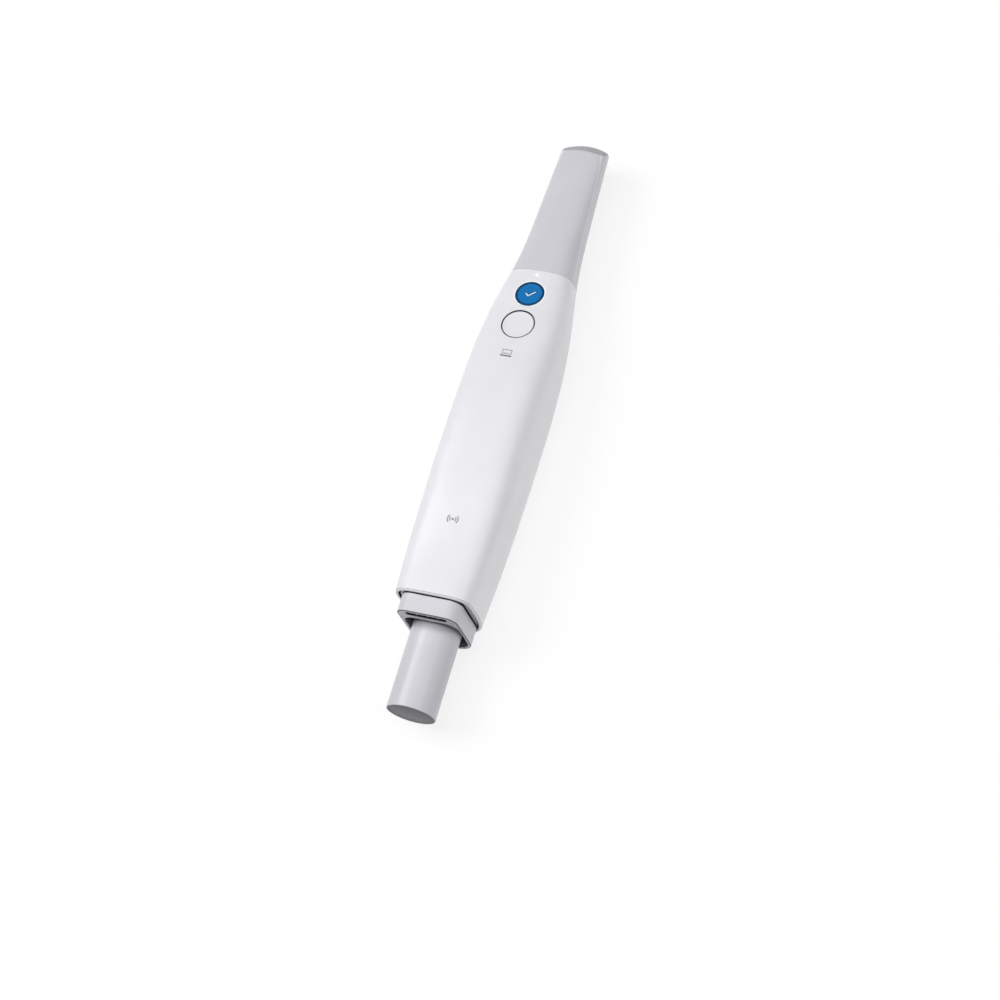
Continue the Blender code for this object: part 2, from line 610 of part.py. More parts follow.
def make_battery_bay(finishes):
    """The tube that the battery slides into, with a flange that seats on the collar."""
    start, end = COLLAR_BACK_Y + GAP, BULKHEAD_Y - GAP
    profile = [(BAY_BORE, start), (BAY_RADIUS, start), (BAY_RADIUS, end), (BAY_BORE, end)]
    bay = turned("battery_bay", profile, axis_y(), finishes["black"], sides=36, looped=True)
    rings = [outline(y, INNER) for y in (start, start + PLATE)]
    flange = loft("bay_flange", rings, finishes["black"])
    cut = [(0, start - 1 * UNIT), (BAY_BORE + 0.4 * BAY_WALL, start - 1 * UNIT)]
    cut += [(BAY_BORE + 0.4 * BAY_WALL, start + PLATE + 1 * UNIT), (0, start + PLATE + 1 * UNIT)]
    combine(flange, turned("bay_flange_bore", cut, axis_y(), finishes["black"], sides=36))
    air = rounded(-VENT_HALF_WIDTH, VENT_HALF_WIDTH, VENT_Z - VENT_HEIGHT / 2, VENT_Z + VENT_HEIGHT / 2, 1 * UNIT)
    combine(flange, slab("bay_air_window", air, start - 1 * UNIT, start + PLATE + 1 * UNIT, finishes["black"]))
    for number, (x, z) in enumerate(collar_screw_places(), 1):
        radius = SCREW_RADIUS + GAP
        hole = [(0, start - 1 * UNIT), (radius, start - 1 * UNIT)]
        hole += [(radius, start + PLATE + 1 * UNIT), (0, start + PLATE + 1 * UNIT)]
        combine(flange, turned(f"bay_screw_hole_{number}", hole, axis_y(0, z, x), finishes["black"], sides=16))
        make_screw(f"collar_screw_{number}", axis_y(start + PLATE + GAP, z, x), finishes["steel"])
    combine(bay, flange, "UNION")


def make_battery(finishes):
    """The battery: case, end disc, cell and front cap, all round one axis."""
    radius, bore = BATTERY_RADIUS, BATTERY_RADIUS - BATTERY_WALL
    rim = radius - 0.45 * UNIT
    disc = BATTERY_DISC
    tube_end = BATTERY_LENGTH - BATTERY_CAP_LENGTH
    profile = [(rim, 0), (radius - 0.15 * UNIT, 0), (radius, 0.25 * UNIT), (radius, tube_end), (bore, tube_end)]
    profile += [(bore, disc + 2 * GAP), (rim, disc + 2 * GAP)]
    turned("battery_tube", profile, axis_y(), finishes["case"], sides=44, looped=True)
    face = GAP
    profile = [(0, face), (rim - GAP, face), (rim - GAP, face + disc), (0, face + disc)]
    turned("battery_end_cap", profile, axis_y(), finishes["end"], sides=44)
    start = face + disc + GAP
    cell_end = start + CELL_LENGTH
    profile = [(0, start), (CELL_RADIUS, start), (CELL_RADIUS, cell_end), (0.3 * CELL_RADIUS, cell_end)]
    profile += [(0.3 * CELL_RADIUS, cell_end + CELL_POLE), (0, cell_end + CELL_POLE)]
    turned("battery_cell", profile, axis_y(), finishes["wrap"], sides=28)
    plug = cell_end + CELL_POLE + GAP
    profile = [(0, plug), (bore - GAP, plug), (bore - GAP, tube_end + GAP), (radius, tube_end + GAP)]
    profile += [(radius, BATTERY_LENGTH - 0.6 * UNIT), (radius - 0.6 * UNIT, BATTERY_LENGTH), (0, BATTERY_LENGTH)]
    turned("battery_front_cap", profile, axis_y(), finishes["black"], sides=44)


def make_contacts(finishes):
    """The block at the bay's bottom and the two blades that meet the battery."""
    blade = 1.6 * UNIT
    face = BATTERY_LENGTH + GAP + blade + GAP
    end = BULKHEAD_Y - GAP
    radius = BAY_BORE - GAP
    profile = [(0, face), (radius, face), (radius, end), (0, end)]
    turned("contact_block", profile, axis_y(), finishes["black"], sides=36)
    for number, x in enumerate((-4.0 * UNIT, 4.0 * UNIT), 1):
        arc = [(k / 6 - 1) * math.pi for k in range(7)]
        bow = [(x + 2.6 * UNIT * math.cos(a), face - GAP + blade * math.sin(a)) for a in arc]
        bow += [(x + 2.1 * UNIT * math.cos(a), face - GAP + (blade - 0.5 * UNIT) * math.sin(a)) for a in reversed(arc)]
        z = BATTERY_AXIS_Z
        plate(f"contact_blade_{number}", bow, z - 2 * UNIT, z + 2 * UNIT, finishes["gold"])


def board_screw_places():
    """Where the main board is screwed to the chassis's bosses."""
    x = 0.38 * GRIP_HALF_WIDTH
    start = MAIN_BOARD_Y + 5.0 * UNIT
    return [(sx * x, y) for y in (start, start + MAIN_BOARD_LENGTH - 10.0 * UNIT) for sx in (-1, 1)]


def make_chassis(finishes):
    """The tray inside the shell: a trough with a bulkhead behind the battery bay and four screw bosses."""
    finish = finishes["black"]
    places = stops(BULKHEAD_Y + 0.5 * PLATE, NOSE_BACK_Y - GAP)
    skins = [outline(y, INNER) for y in places] + [outline(y, INNER + CHASSIS_WALL) for y in reversed(places)]
    chassis = loft("chassis", skins, finish, looped=True)
    room = rounded(-40 * UNIT, 40 * UNIT, BULKHEAD_Y - 5 * UNIT, SEAM_Y + 5 * UNIT, 1 * UNIT, steps=1)
    combine(chassis, plate("trough_room", room, TROUGH_EDGE_Z, TROUGH_EDGE_Z + 60 * UNIT, finish))
    rings = [outline(y, INNER) for y in (BULKHEAD_Y, BULKHEAD_Y + PLATE)]
    bulkhead = loft("bulkhead", rings, finish)
    z0 = BATTERY_AXIS_Z + BAY_RADIUS + 2 * UNIT
    air = rounded(-6 * UNIT, 6 * UNIT, z0, roof(BULKHEAD_Y, 6 * UNIT, INNER) - 3 * UNIT, 0.8 * UNIT, steps=2)
    combine(bulkhead, slab("bulkhead_air_window", air, BULKHEAD_Y - 1 * UNIT, BULKHEAD_Y + PLATE + 1 * UNIT, finish))
    combine(chassis, bulkhead, "UNION")
    for number, (x, y) in enumerate(board_screw_places(), 1):
        base = floor_height(y, abs(x) + BOSS_RADIUS, INNER) + 0.3 * CHASSIS_WALL
        seat = TROUGH_EDGE_Z - 0.1 * UNIT
        profile = [(0, base), (BOSS_RADIUS, base), (BOSS_RADIUS, seat), (0, seat)]
        combine(chassis, turned(f"board_boss_{number}", profile, upright(x, y, 0), finish, sides=20), "UNION")
        top, bottom, radius = TROUGH_EDGE_Z + 1 * UNIT, TROUGH_EDGE_Z - SCREW_LENGTH, SCREW_RADIUS + GAP
        profile = [(0, bottom), (radius, bottom), (radius, top), (0, top)]
        combine(chassis, turned(f"boss_hole_{number}", profile, upright(x, y, 0), finish, sides=16))


def make_main_board(finishes):
    """The main board on the trough's edges, with its shield, radio module and screws."""
    start = MAIN_BOARD_Y
    end = start + MAIN_BOARD_LENGTH
    half = min(side(y, TROUGH_EDGE_Z, INNER + 0.4 * CHASSIS_WALL) for y in (start, end))
    low = TROUGH_EDGE_Z + GAP
    top = low + BOARD_THICKNESS
    board = plate("main_board", rounded(-half, half, start, end, 2.0 * UNIT), low, top, finishes["board"])
    for number, (x, y) in enumerate(board_screw_places(), 1):
        radius = SCREW_RADIUS + GAP
        profile = [(0, low - 1 * UNIT), (radius, low - 1 * UNIT), (radius, top + 1 * UNIT), (0, top + 1 * UNIT)]
        combine(board, turned(f"board_hole_{number}", profile, upright(x, y, 0), finishes["board"], sides=16))
        make_screw(f"board_screw_{number}", upright(x, y, top + GAP), finishes["steel"])
    centre = start + 0.55 * MAIN_BOARD_LENGTH
    shield = rounded(-13 * UNIT, 13 * UNIT, centre - 13 * UNIT, centre + 13 * UNIT, 1.2 * UNIT, steps=2)
    plate("processor_shield", shield, top + GAP, top + 3.2 * UNIT, finishes["steel"])
    radio = rounded(-7 * UNIT, 7 * UNIT, start + 9 * UNIT, start + 19 * UNIT, 0.5 * UNIT, steps=1)
    plate("radio_module", radio, top + GAP, top + 2.4 * UNIT, finishes["black"])


def make_bench(finishes):
    """The optical bench across the trough: saddles for the barrel and two walls that carry the keypad."""
    finish = finishes["alloy"]
    places = spread(BENCH_Y, BENCH_END_Y, 9)
    edge = [(side(y, TROUGH_EDGE_Z, INNER + 0.4 * CHASSIS_WALL), y) for y in places]
    corners = edge + [(-x, y) for x, y in reversed(edge)]
    bench = plate("optical_bench", corners, TROUGH_EDGE_Z + GAP, BENCH_TOP, finish)
    for number, y in enumerate((BARREL_Y + 4 * UNIT, CHECK_BUTTON_Y - 2 * UNIT), 1):
        half = BARREL_RADIUS + 0.9 * UNIT
        saddle = rounded(-half, half, y, y + 4 * UNIT, 0.4 * UNIT, steps=1)
        block = plate(f"saddle_{number}", saddle, BENCH_TOP - 0.8 * UNIT, BENCH_TOP + 3.0 * UNIT, finish)
        combine(bench, block, "UNION")
    for number, x in enumerate((-8.4 * UNIT, 6.2 * UNIT), 1):
        wall = rounded(x, x + 2.2 * UNIT, SCAN_BUTTON_Y - 7.5 * UNIT, SCAN_BUTTON_Y + 4.0 * UNIT, 0.4 * UNIT, steps=1)
        block = plate(f"keypad_wall_{number}", wall, BENCH_TOP - 0.8 * UNIT, GRIP_HEIGHT, finish)
        combine(bench, block, "UNION")
    radius = BARREL_RADIUS + GAP
    rod = [(0, BENCH_Y), (radius, BENCH_Y), (radius, SEAM_Y), (0, SEAM_Y)]
    combine(bench, turned("barrel_path", rod, axis_y(0, ENGINE_AXIS_Z), finish, sides=24))
    frame = keypad_frame(SCAN_BUTTON_Y)
    low = -keypad_depth() - BOARD_THICKNESS - GAP
    corners = rounded(-20 * UNIT, 20 * UNIT, -20 * UNIT, 20 * UNIT, 1 * UNIT, steps=1)
    rings = [[frame @ Vector((x, v, h)) for x, v in corners] for h in (low, low + 20 * UNIT)]
    combine(bench, loft("keypad_room", rings, finish))


def make_light_engine(finishes):
    """The projector: finned sink, board, lamp, barrel and front lens."""
    low = BENCH_TOP + GAP
    top = low + SINK_HEIGHT
    pitch = 2 * SINK_HALF_WIDTH / (2 * SINK_FINS - 1)
    comb = [(SINK_HALF_WIDTH, SINK_Y + SINK_LENGTH), (-SINK_HALF_WIDTH, SINK_Y + SINK_LENGTH)]
    for k in range(SINK_FINS):
        x0 = -SINK_HALF_WIDTH + 2 * k * pitch
        root = SINK_Y + SINK_LENGTH - 2.5 * UNIT
        comb += [(x0, SINK_Y), (x0 + pitch, SINK_Y)]
        if k < SINK_FINS - 1:
            comb += [(x0 + pitch, root), (x0 + 2 * pitch, root)]
    plate("light_heat_sink", comb, low, top, finishes["alloy"])
    y = LIGHT_BOARD_Y
    shape = rounded(-8 * UNIT, 8 * UNIT, low, top, 1 * UNIT, steps=2)
    slab("light_board", shape, y, y + BOARD_THICKNESS, finishes["board"])
    y += BOARD_THICKNESS + GAP
    z = ENGINE_AXIS_Z
    lamp = rounded(-1.8 * UNIT, 1.8 * UNIT, z - 1.8 * UNIT, z + 1.8 * UNIT, 0.4 * UNIT, steps=1)
    slab("projector_lamp", lamp, y, y + 1.1 * UNIT, finishes["lamp"])
    start, end = BARREL_Y, BARREL_Y + BARREL_LENGTH
    bore = BARREL_RADIUS - BARREL_WALL
    step = end - 3.2 * UNIT
    profile = [(bore, start), (BARREL_RADIUS, start), (BARREL_RADIUS, end - 0.4 * UNIT), (BARREL_RADIUS - 0.4 * UNIT, end)]
    profile += [(bore + 0.3 * UNIT, end), (bore + 0.3 * UNIT, step), (bore - 0.6 * UNIT, step), (bore - 0.6 * UNIT, step - 1 * UNIT)]
    profile += [(bore, step - 1.4 * UNIT)]
    turned("projector_barrel", profile, axis_y(0, z), finishes["black"], sides=24, looped=True)
    rim = bore
    curve = [k / 3 for k in range(4)]
    profile = [(rim * c, step + GAP + 0.5 * UNIT * c * c) for c in curve]
    profile += [(rim * c, end - GAP - 0.8 * UNIT * c * c) for c in reversed(curve)]
    turned("projector_lens", profile, axis_y(0, z), finishes["glass"], sides=20)


def make_cameras(finishes):
    """The two camera modules beside the barrel, each a housing with a lens tube."""
    low = BENCH_TOP + GAP
    half = CAMERA_HALF_WIDTH
    z = low + 0.5 * CAMERA_HEIGHT
    for name, x in (("left", -CAMERA_OFFSET), ("right", CAMERA_OFFSET)):
        shape = rounded(x - half, x + half, low, low + CAMERA_HEIGHT, 0.8 * UNIT, steps=2)
        slab(f"camera_{name}", shape, CAMERA_Y, CAMERA_Y + CAMERA_DEPTH, finishes["alloy"])
        start = CAMERA_Y + CAMERA_DEPTH + GAP
        end = start + CAMERA_LENS_LENGTH
        radius = CAMERA_LENS_RADIUS
        profile = [(0, start), (radius, start), (radius, end), (0.75 * radius, end)]
        profile += [(0.6 * radius, end - 0.9 * UNIT), (0, end - 0.6 * UNIT)]
        turned(f"camera_lens_{name}", profile, axis_y(0, z, x), finishes["black"], sides=24)


def nose_outline(y, inset):
    """The nose's outline: it draws in towards its front, so that the tip slides off it freely."""
    return outline(y, inset + NOSE_DRAFT * (y - NOSE_BACK_Y) / (NOSE_FRONT_Y - NOSE_BACK_Y))


def make_nose(finishes):
    """The nose that the tip slides over, with its front glass and seal."""
    finish = finishes["black"]
    outer = [nose_outline(y, NOSE_INSET) for y in stops(NOSE_BACK_Y, NOSE_FRONT_Y - 0.6 * UNIT)]
    outer.append(nose_outline(NOSE_FRONT_Y, NOSE_INSET + 0.6 * UNIT))
    glass = NOSE_FRONT_Y - 0.4 * UNIT - WINDOW_THICKNESS
    seal = glass - GAP - SEAL_THICKNESS
    shelf = seal - GAP
    lip = NOSE_BORE + 1.5 * UNIT
    inner = [nose_outline(NOSE_FRONT_Y, NOSE_BORE), nose_outline(shelf, NOSE_BORE), nose_outline(shelf, lip)]
    inner += [nose_outline(shelf - 1.5 * UNIT, lip), nose_outline(shelf - 1.5 * UNIT, NOSE_BORE)]
    inner += [nose_outline(y, NOSE_BORE) for y in reversed(stops(NOSE_BACK_Y, shelf - 4 * UNIT))]
    nose = loft("optics_nose", outer + inner, finish, looped=True)
    radius = LIGHT_RADIUS + GAP
    depth = BODY_WALL + 6 * UNIT
    profile = [(0, -depth), (radius, -depth), (radius, 1 * UNIT), (0, 1 * UNIT)]
    combine(nose, turned("nose_light_hole", profile, keypad_frame(LIGHT_Y), finish, sides=20))
    rings = [nose_outline(y, NOSE_BORE + GAP) for y in (glass, glass + WINDOW_THICKNESS)]
    loft("nose_window", rings, finishes["glass"])
    rings = [nose_outline(y, NOSE_BORE + GAP) for y in (seal, seal + SEAL_THICKNESS)]
    rings += [nose_outline(y, lip) for y in (seal + SEAL_THICKNESS, seal)]
    loft("window_seal", rings, finishes["rubber"], looped=True)


def make_fan(finishes):
    """The blower over the battery bay: its housing opens to the vent, and its rotor turns upright."""
    start, end = FAN_Y, FAN_END_Y
    centre = (start + end) / 2
    low = BATTERY_AXIS_Z + BAY_RADIUS + GAP
    ceiling = min(roof(y, FAN_HALF_WIDTH, BODY_WALL) for y in (start, end)) - GAP
    top = ceiling - FAN_COVER - GAP
    half = FAN_HALF_WIDTH
    floor = low + 1.2 * UNIT
    well = half - 1.6 * UNIT
    housing = plate("fan_housing", rounded(-half, half, start, end, 1.5 * UNIT), low, top, finishes["black"])
    profile = [(0, floor), (well, floor), (well, top + 1 * UNIT), (0, top + 1 * UNIT)]
    combine(housing, turned("fan_well", profile, upright(0, centre, 0), finishes["black"], sides=36))
    mouth = well - 1.0 * UNIT
    corners = rounded(-mouth, mouth, start - 1 * UNIT, centre, 0.3 * UNIT, steps=1)
    combine(housing, plate("fan_mouth", corners, floor + 0.1 * UNIT, top - 1 * UNIT, finishes["black"]))
    spindle = 0.8 * UNIT
    profile = [(0, floor - 0.5 * UNIT), (spindle, floor - 0.5 * UNIT), (spindle, floor + 3 * UNIT), (0, floor + 3 * UNIT)]
    combine(housing, turned("fan_spindle", profile, upright(0, centre, 0), finishes["black"], sides=16), "UNION")
    cover = plate("fan_cover", rounded(-half, half, start, end, 1.5 * UNIT), top + GAP, ceiling, finishes["steel"])
    profile = [(0, top - 1 * UNIT), (0.55 * half, top - 1 * UNIT), (0.55 * half, ceiling + 1 * UNIT), (0, ceiling + 1 * UNIT)]
    combine(cover, turned("fan_inlet", profile, upright(0, centre, 0), finishes["steel"], sides=32))
    hub, reach = 0.36 * half, well - 1.0 * UNIT
    corners = []
    for k in range(FAN_BLADES):
        turn = 2 * math.pi * k / FAN_BLADES
        for radius, ahead in ((hub, -0.12), (reach, 0.28), (reach, 0.40), (hub, 0.16)):
            corners.append((radius * math.cos(turn + ahead), centre + radius * math.sin(turn + ahead)))
    rotor_low, rotor_top = floor + 0.5 * UNIT, top - 0.6 * UNIT
    rotor = plate("fan_rotor", corners, rotor_low, rotor_top, finishes["black"], origin=(0, centre, rotor_low))
    profile = [(0, rotor_low - 1 * UNIT), (spindle + GAP, rotor_low - 1 * UNIT)]
    profile += [(spindle + GAP, floor + 3 * UNIT + GAP), (0, floor + 3 * UNIT + GAP)]
    combine(rotor, turned("rotor_bore", profile, upright(0, centre, 0), finishes["black"], sides=16))


def main():
    """Build the scanner, one part after another."""
    for thing in list(bpy.data.objects):
        bpy.data.objects.remove(thing)
    carrier = bpy.data.objects.new("scanner", None)
    carrier.location = (0, -END_Y / 2, 0)
    bpy.context.scene.collection.objects.link(carrier)
    finishes = make_materials()
    make_body_shell(finishes["white"])
    make_tip(finishes)
    make_button("scan_button", SCAN_BUTTON_Y, SCAN_BUTTON_RADIUS, finishes["button"])
    make_button("check_button", CHECK_BUTTON_Y, CHECK_BUTTON_RADIUS, finishes["blue"])
    make_switch("scan", SCAN_BUTTON_Y, finishes)
    make_switch("check", CHECK_BUTTON_Y, finishes)
    make_keypad(finishes)
    make_collar(finishes)
    make_battery_bay(finishes)
    make_battery(finishes)
    make_contacts(finishes)
    make_chassis(finishes)
    make_main_board(finishes)
    make_bench(finishes)
    make_light_engine(finishes)
    make_cameras(finishes)
    make_nose(finishes)
    make_fan(finishes)


main()
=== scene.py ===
"""Looks of a cordless intraoral scanner that lies on its belly, with its buttons up.

Places along the scanner are measured from the battery's end face, as a maker's drawing would
give them, and the origin lies under the middle of the overall length. The form is drawn 317.4
units long, and the real scanner is 313 mm long, so that a unit is a little less than a millimetre.
"""

from __future__ import annotations

import json
import logging
import math
from dataclasses import dataclass, field
from enum import Enum
from typing import Any, Callable, Iterable, Sequence

import bmesh
import bpy
import numpy as np
from mathutils import Matrix, Vector

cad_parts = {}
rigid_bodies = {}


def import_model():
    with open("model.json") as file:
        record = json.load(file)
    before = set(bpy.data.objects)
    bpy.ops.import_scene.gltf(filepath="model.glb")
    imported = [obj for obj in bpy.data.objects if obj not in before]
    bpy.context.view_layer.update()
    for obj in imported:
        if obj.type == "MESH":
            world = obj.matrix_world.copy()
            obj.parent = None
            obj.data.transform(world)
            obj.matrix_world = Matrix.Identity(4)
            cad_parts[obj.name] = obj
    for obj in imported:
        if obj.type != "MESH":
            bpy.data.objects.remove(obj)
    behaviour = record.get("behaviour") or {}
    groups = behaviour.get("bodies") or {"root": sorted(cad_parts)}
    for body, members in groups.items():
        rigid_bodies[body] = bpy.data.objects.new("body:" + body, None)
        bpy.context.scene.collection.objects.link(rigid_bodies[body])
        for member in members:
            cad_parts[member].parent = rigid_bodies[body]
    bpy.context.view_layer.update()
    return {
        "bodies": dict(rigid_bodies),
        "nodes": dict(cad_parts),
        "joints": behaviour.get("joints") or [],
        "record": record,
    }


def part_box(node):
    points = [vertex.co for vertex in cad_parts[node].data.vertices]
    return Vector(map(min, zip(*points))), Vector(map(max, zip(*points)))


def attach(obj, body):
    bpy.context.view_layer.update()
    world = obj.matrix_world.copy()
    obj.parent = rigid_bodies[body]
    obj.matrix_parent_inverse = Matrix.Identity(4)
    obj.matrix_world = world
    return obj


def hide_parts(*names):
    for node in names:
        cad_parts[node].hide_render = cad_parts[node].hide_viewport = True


LOG = logging.getLogger("scanner")
UNIT = 0.313 / 317.4
LENGTH = 317.4 * UNIT
# Edges that turn more than this many degrees stay crisp.
SHARP = 38.0
# A hair of slack for telling whether a face lies on a surface.
SLACK = 1e-5
# Steps in which a ring is measured before its points are spaced evenly.
FINE_STEPS = 1440

Point = tuple[float, float, float]
Outline = list[tuple[float, float]]
Profile = Sequence[tuple[float, float]]
Piece = bpy.types.Object
Socket = bpy.types.NodeSocket
Tree = bpy.types.NodeTree


def along(place: float) -> float:
    """Turn a place measured from the battery's end face into the frame's Y."""
    return place - LENGTH / 2


def feed(tree: Tree, node: bpy.types.Node, inputs: dict[str | int, Any]) -> None:
    """Set a node's inputs: a socket is linked, and anything else is a value.

    Args:
        tree: The node's tree.
        node: The node.
        inputs: What each input gets, by name or number.
    """
    for name, value in inputs.items():
        if isinstance(value, bpy.types.NodeSocket):
            tree.links.new(value, node.inputs[name])
        else:
            node.inputs[name].default_value = value


def wire(tree: Tree, kind: str, inputs: dict, output: str | int = 0, **settings: str) -> Socket:
    """Add a node to a tree.

    Args:
        tree: The tree.
        kind: The node's type.
        inputs: What each input gets, by name or number.
        output: The output that is wanted.
        **settings: The node's own settings.

    Returns:
        The output.
    """
    node = tree.nodes.new(kind)
    for name, value in settings.items():
        setattr(node, name, value)
    feed(tree, node, inputs)
    return node.outputs[output]


def start_tree(name: str, sizes: dict[str, float]) -> tuple[Tree, bpy.types.NodeOutputs]:
    """Start a geometry tree.

    Args:
        name: Its name.
        sizes: Its inputs; a whole number makes a count.

    Returns:
        The tree and the sockets of its inputs.
    """
    tree = bpy.data.node_groups.new(name, "GeometryNodeTree")
    for label, value in sizes.items():
        kind = "NodeSocketInt" if isinstance(value, int) else "NodeSocketFloat"
        socket = tree.interface.new_socket(label, in_out="INPUT", socket_type=kind)
        socket.default_value = value
    tree.interface.new_socket("Geometry", in_out="OUTPUT", socket_type="NodeSocketGeometry")
    return tree, tree.nodes.new("NodeGroupInput").outputs


def end_tree(tree: Tree, geometry: Socket, finish: Finish) -> Tree:
    """End a geometry tree: its instances become real, get their finish and go out.

    Args:
        tree: The tree.
        geometry: What it has made.
        finish: The finish.

    Returns:
        The same tree.
    """
    real = wire(tree, "GeometryNodeRealizeInstances", {"Geometry": geometry})
    inputs = {"Geometry": real, "Material": finish.make()}
    done = wire(tree, "GeometryNodeSetMaterial", inputs)
    feed(tree, tree.nodes.new("NodeGroupOutput"), {"Geometry": done})
    return tree


class Body(Enum):
    """The moving bodies that carry the pieces made here."""

    HANDLE = "handle"
    TIP = "tip"
    BATTERY = "battery"
    SCAN_KEY = "scan_key"
    CHECK_KEY = "check_key"


class Pattern(Enum):
    """What a finish shows on its surface besides its colour."""

    MOULDED = "moulded"
    BRUSHED = "brushed"
    BOARD = "board"
    CLEAR = "clear"
    LIT = "lit"


@dataclass(frozen=True)
class Finish:
    """One finish: the colour, gloss and fine relief of a surface.

    Attributes:
        name: The material's name.
        slot: The record's material slot that it belongs to.
        colour: Linear base colour.
        roughness: Mean roughness of the surface.
        metallic: 1 for bare metal, 0 for anything else.
        coat: Weight of a clear coat.
        gloss: How strongly the bare surface mirrors, 0.5 for common plastic.
        grain: Size of the fine relief, in metres.
        relief: Strength of the fine relief.
        mottle: How far the colour strays from its mean, as a share.
        painted_highlight_height: Height over the floor of a thin light line painted along the side
            as a highlight, 0 for none.
        pattern: What else the surface shows.
    """

    name: str
    slot: str
    colour: Point
    roughness: float
    metallic: float = 0.0
    coat: float = 0.0
    gloss: float = 0.5
    grain: float = 0.25 * UNIT
    relief: float = 0.03
    mottle: float = 0.015
    # Height of a thin painted highlight along the side; 0 for none.
    painted_highlight_height: float = 0.0
    pattern: Pattern = Pattern.MOULDED

    def make(self) -> bpy.types.Material:
        """Build the material's nodes, or return it if it is there already.

        Returns:
            The finished material.
        """
        if self.name in bpy.data.materials:
            return bpy.data.materials[self.name]
        material = bpy.data.materials.new(self.name)
        material.use_nodes = True
        tree = material.node_tree
        place = wire(tree, "ShaderNodeTexCoord", {}, "Object")
        rough = {"To Min": self.roughness * 0.92, "To Max": self.roughness * 1.08}
        rough["Value"] = self._noise(tree, place, 7 * UNIT)
        bump = {"Strength": self.relief, "Distance": 0.1 * UNIT}
        bump["Height"] = self._noise(tree, place, self.grain)
        looks = {
            "Metallic": self.metallic,
            "Coat Weight": self.coat,
            "Coat Roughness": 0.12,
            "Specular IOR Level": self.gloss,
            "Base Color": self._colour(tree, place),
            "Roughness": wire(tree, "ShaderNodeMapRange", rough, "Result"),
            "Normal": wire(tree, "ShaderNodeBump", bump, "Normal"),
        }
        if self.pattern is Pattern.CLEAR:
            looks |= {"Transmission Weight": 1.0, "IOR": 1.5}
        if self.pattern is Pattern.LIT:
            looks |= {"Emission Color": (1.0, 0.93, 0.78, 1.0), "Emission Strength": 0.30}
        feed(tree, tree.nodes["Principled BSDF"], looks)
        return material

    def _noise(self, tree: Tree, place: Socket, size: float) -> Socket:
        """Add a noise, which is drawn out along the scanner on brushed metal.

        Args:
            tree: The material's tree.
            place: The coordinates that it reads.
            size: Feature size in metres.

        Returns:
            The noise's value, about 0 to 1.
        """
        if self.pattern is Pattern.BRUSHED:
            stretched = {"Scale": (1.0, 0.06, 1.0), "Vector": place}
            place = wire(tree, "ShaderNodeMapping", stretched, "Vector")
        inputs = {"Scale": 1.0 / size, "Detail": 3.0, "Vector": place}
        return wire(tree, "ShaderNodeTexNoise", inputs, "Fac")

    def _colour(self, tree: Tree, place: Socket) -> Socket:
        """Give the colour, with slow variation, a painted highlight line and a board's copper
        tracks.

        Args:
            tree: The material's tree.
            place: The coordinates that the variation reads.

        Returns:
            The colour.
        """
        ramp = tree.nodes.new("ShaderNodeValToRGB")
        for stop, position, side in zip(ramp.color_ramp.elements, (0.35, 0.65), (-1, 1)):
            shade = (min(1.0, c * (1 + side * self.mottle)) for c in self.colour)
            stop.position, stop.color = position, (*shade, 1.0)
        feed(tree, ramp, {"Fac": self._noise(tree, place, 18 * UNIT)})
        colour = ramp.outputs["Color"]
        # Painted highlight: a thin light line along the side, mixed into the colour.
        if self.painted_highlight_height:
            line = self._painted_highlight_line(tree, place)
            mix = {"B": (0.90, 0.90, 0.93, 1.0), "Factor": line, "A": colour}
            colour = wire(tree, "ShaderNodeMix", mix, "Result", data_type="RGBA")
        if self.pattern is Pattern.BOARD:
            bricks = {"Scale": 260.0, "Mortar Size": 0.03, "Vector": place}
            bricks |= {"Color1": (0, 0, 0, 1), "Color2": (0, 0, 0, 1), "Mortar": (1, 1, 1, 1)}
            tracks = wire(tree, "ShaderNodeTexBrick", bricks, "Color")
            mix = {"B": (0.06, 0.30, 0.14, 1.0), "Factor": tracks, "A": colour}
            colour = wire(tree, "ShaderNodeMix", mix, "Result", data_type="RGBA")
        return colour

    def _painted_highlight_line(self, tree: Tree, place: Socket) -> Socket:
        """Give the share of the thin painted highlight: a light line at one height along the side.

        Args:
            tree: The material's tree.
            place: The coordinates that the line's height is read from.

        Returns:
            The share, 0 off the line.
        """
        off = wire(tree, "ShaderNodeSeparateXYZ", {0: place}, "Z")
        for operation, number in (("SUBTRACT", self.painted_highlight_height), ("ABSOLUTE", 0.0)):
            off = wire(tree, "ShaderNodeMath", {0: off, 1: number}, operation=operation)
        fade = {"From Min": 0.15 * UNIT, "From Max": 0.5 * UNIT, "To Min": 0.55, "To Max": 0.0}
        return wire(tree, "ShaderNodeMapRange", fade | {"Value": off}, "Result")


HOUSING = Finish("white_housing_gloss", "white_housing", (0.842, 0.835, 0.874), 0.32, coat=0.25)
# Near-white paint for the bevels round the button holes: a painted highlight.
BEVEL = Finish("white_housing_painted_highlight", "white_housing", (0.975, 0.975, 0.985), 0.4)
# A fine dark line beside the rim: painted shade, standing in for a groove.
RIM_SHADE_LINE = Finish("rim_painted_shade_line", "white_housing", (0.26, 0.26, 0.28), 0.5)
# The tip's grey, with a thin painted highlight along its side at 27 units' height.
SLEEVE = Finish(
    "tip_sleeve_satin", "tip_plastic", (0.644, 0.636, 0.68), 0.36, coat=0.15, painted_highlight_height=27.0 * UNIT
)
# A darker grey for the tip's end face and its edge: painted shade, for faces that turn away from
# the light.
SLEEVE_END_SHADE = Finish("tip_end_painted_shade", "tip_plastic", (0.40, 0.395, 0.42), 0.45)
BEZEL = Finish("collar_satin", "collar_plastic", (0.66, 0.655, 0.695), 0.42)
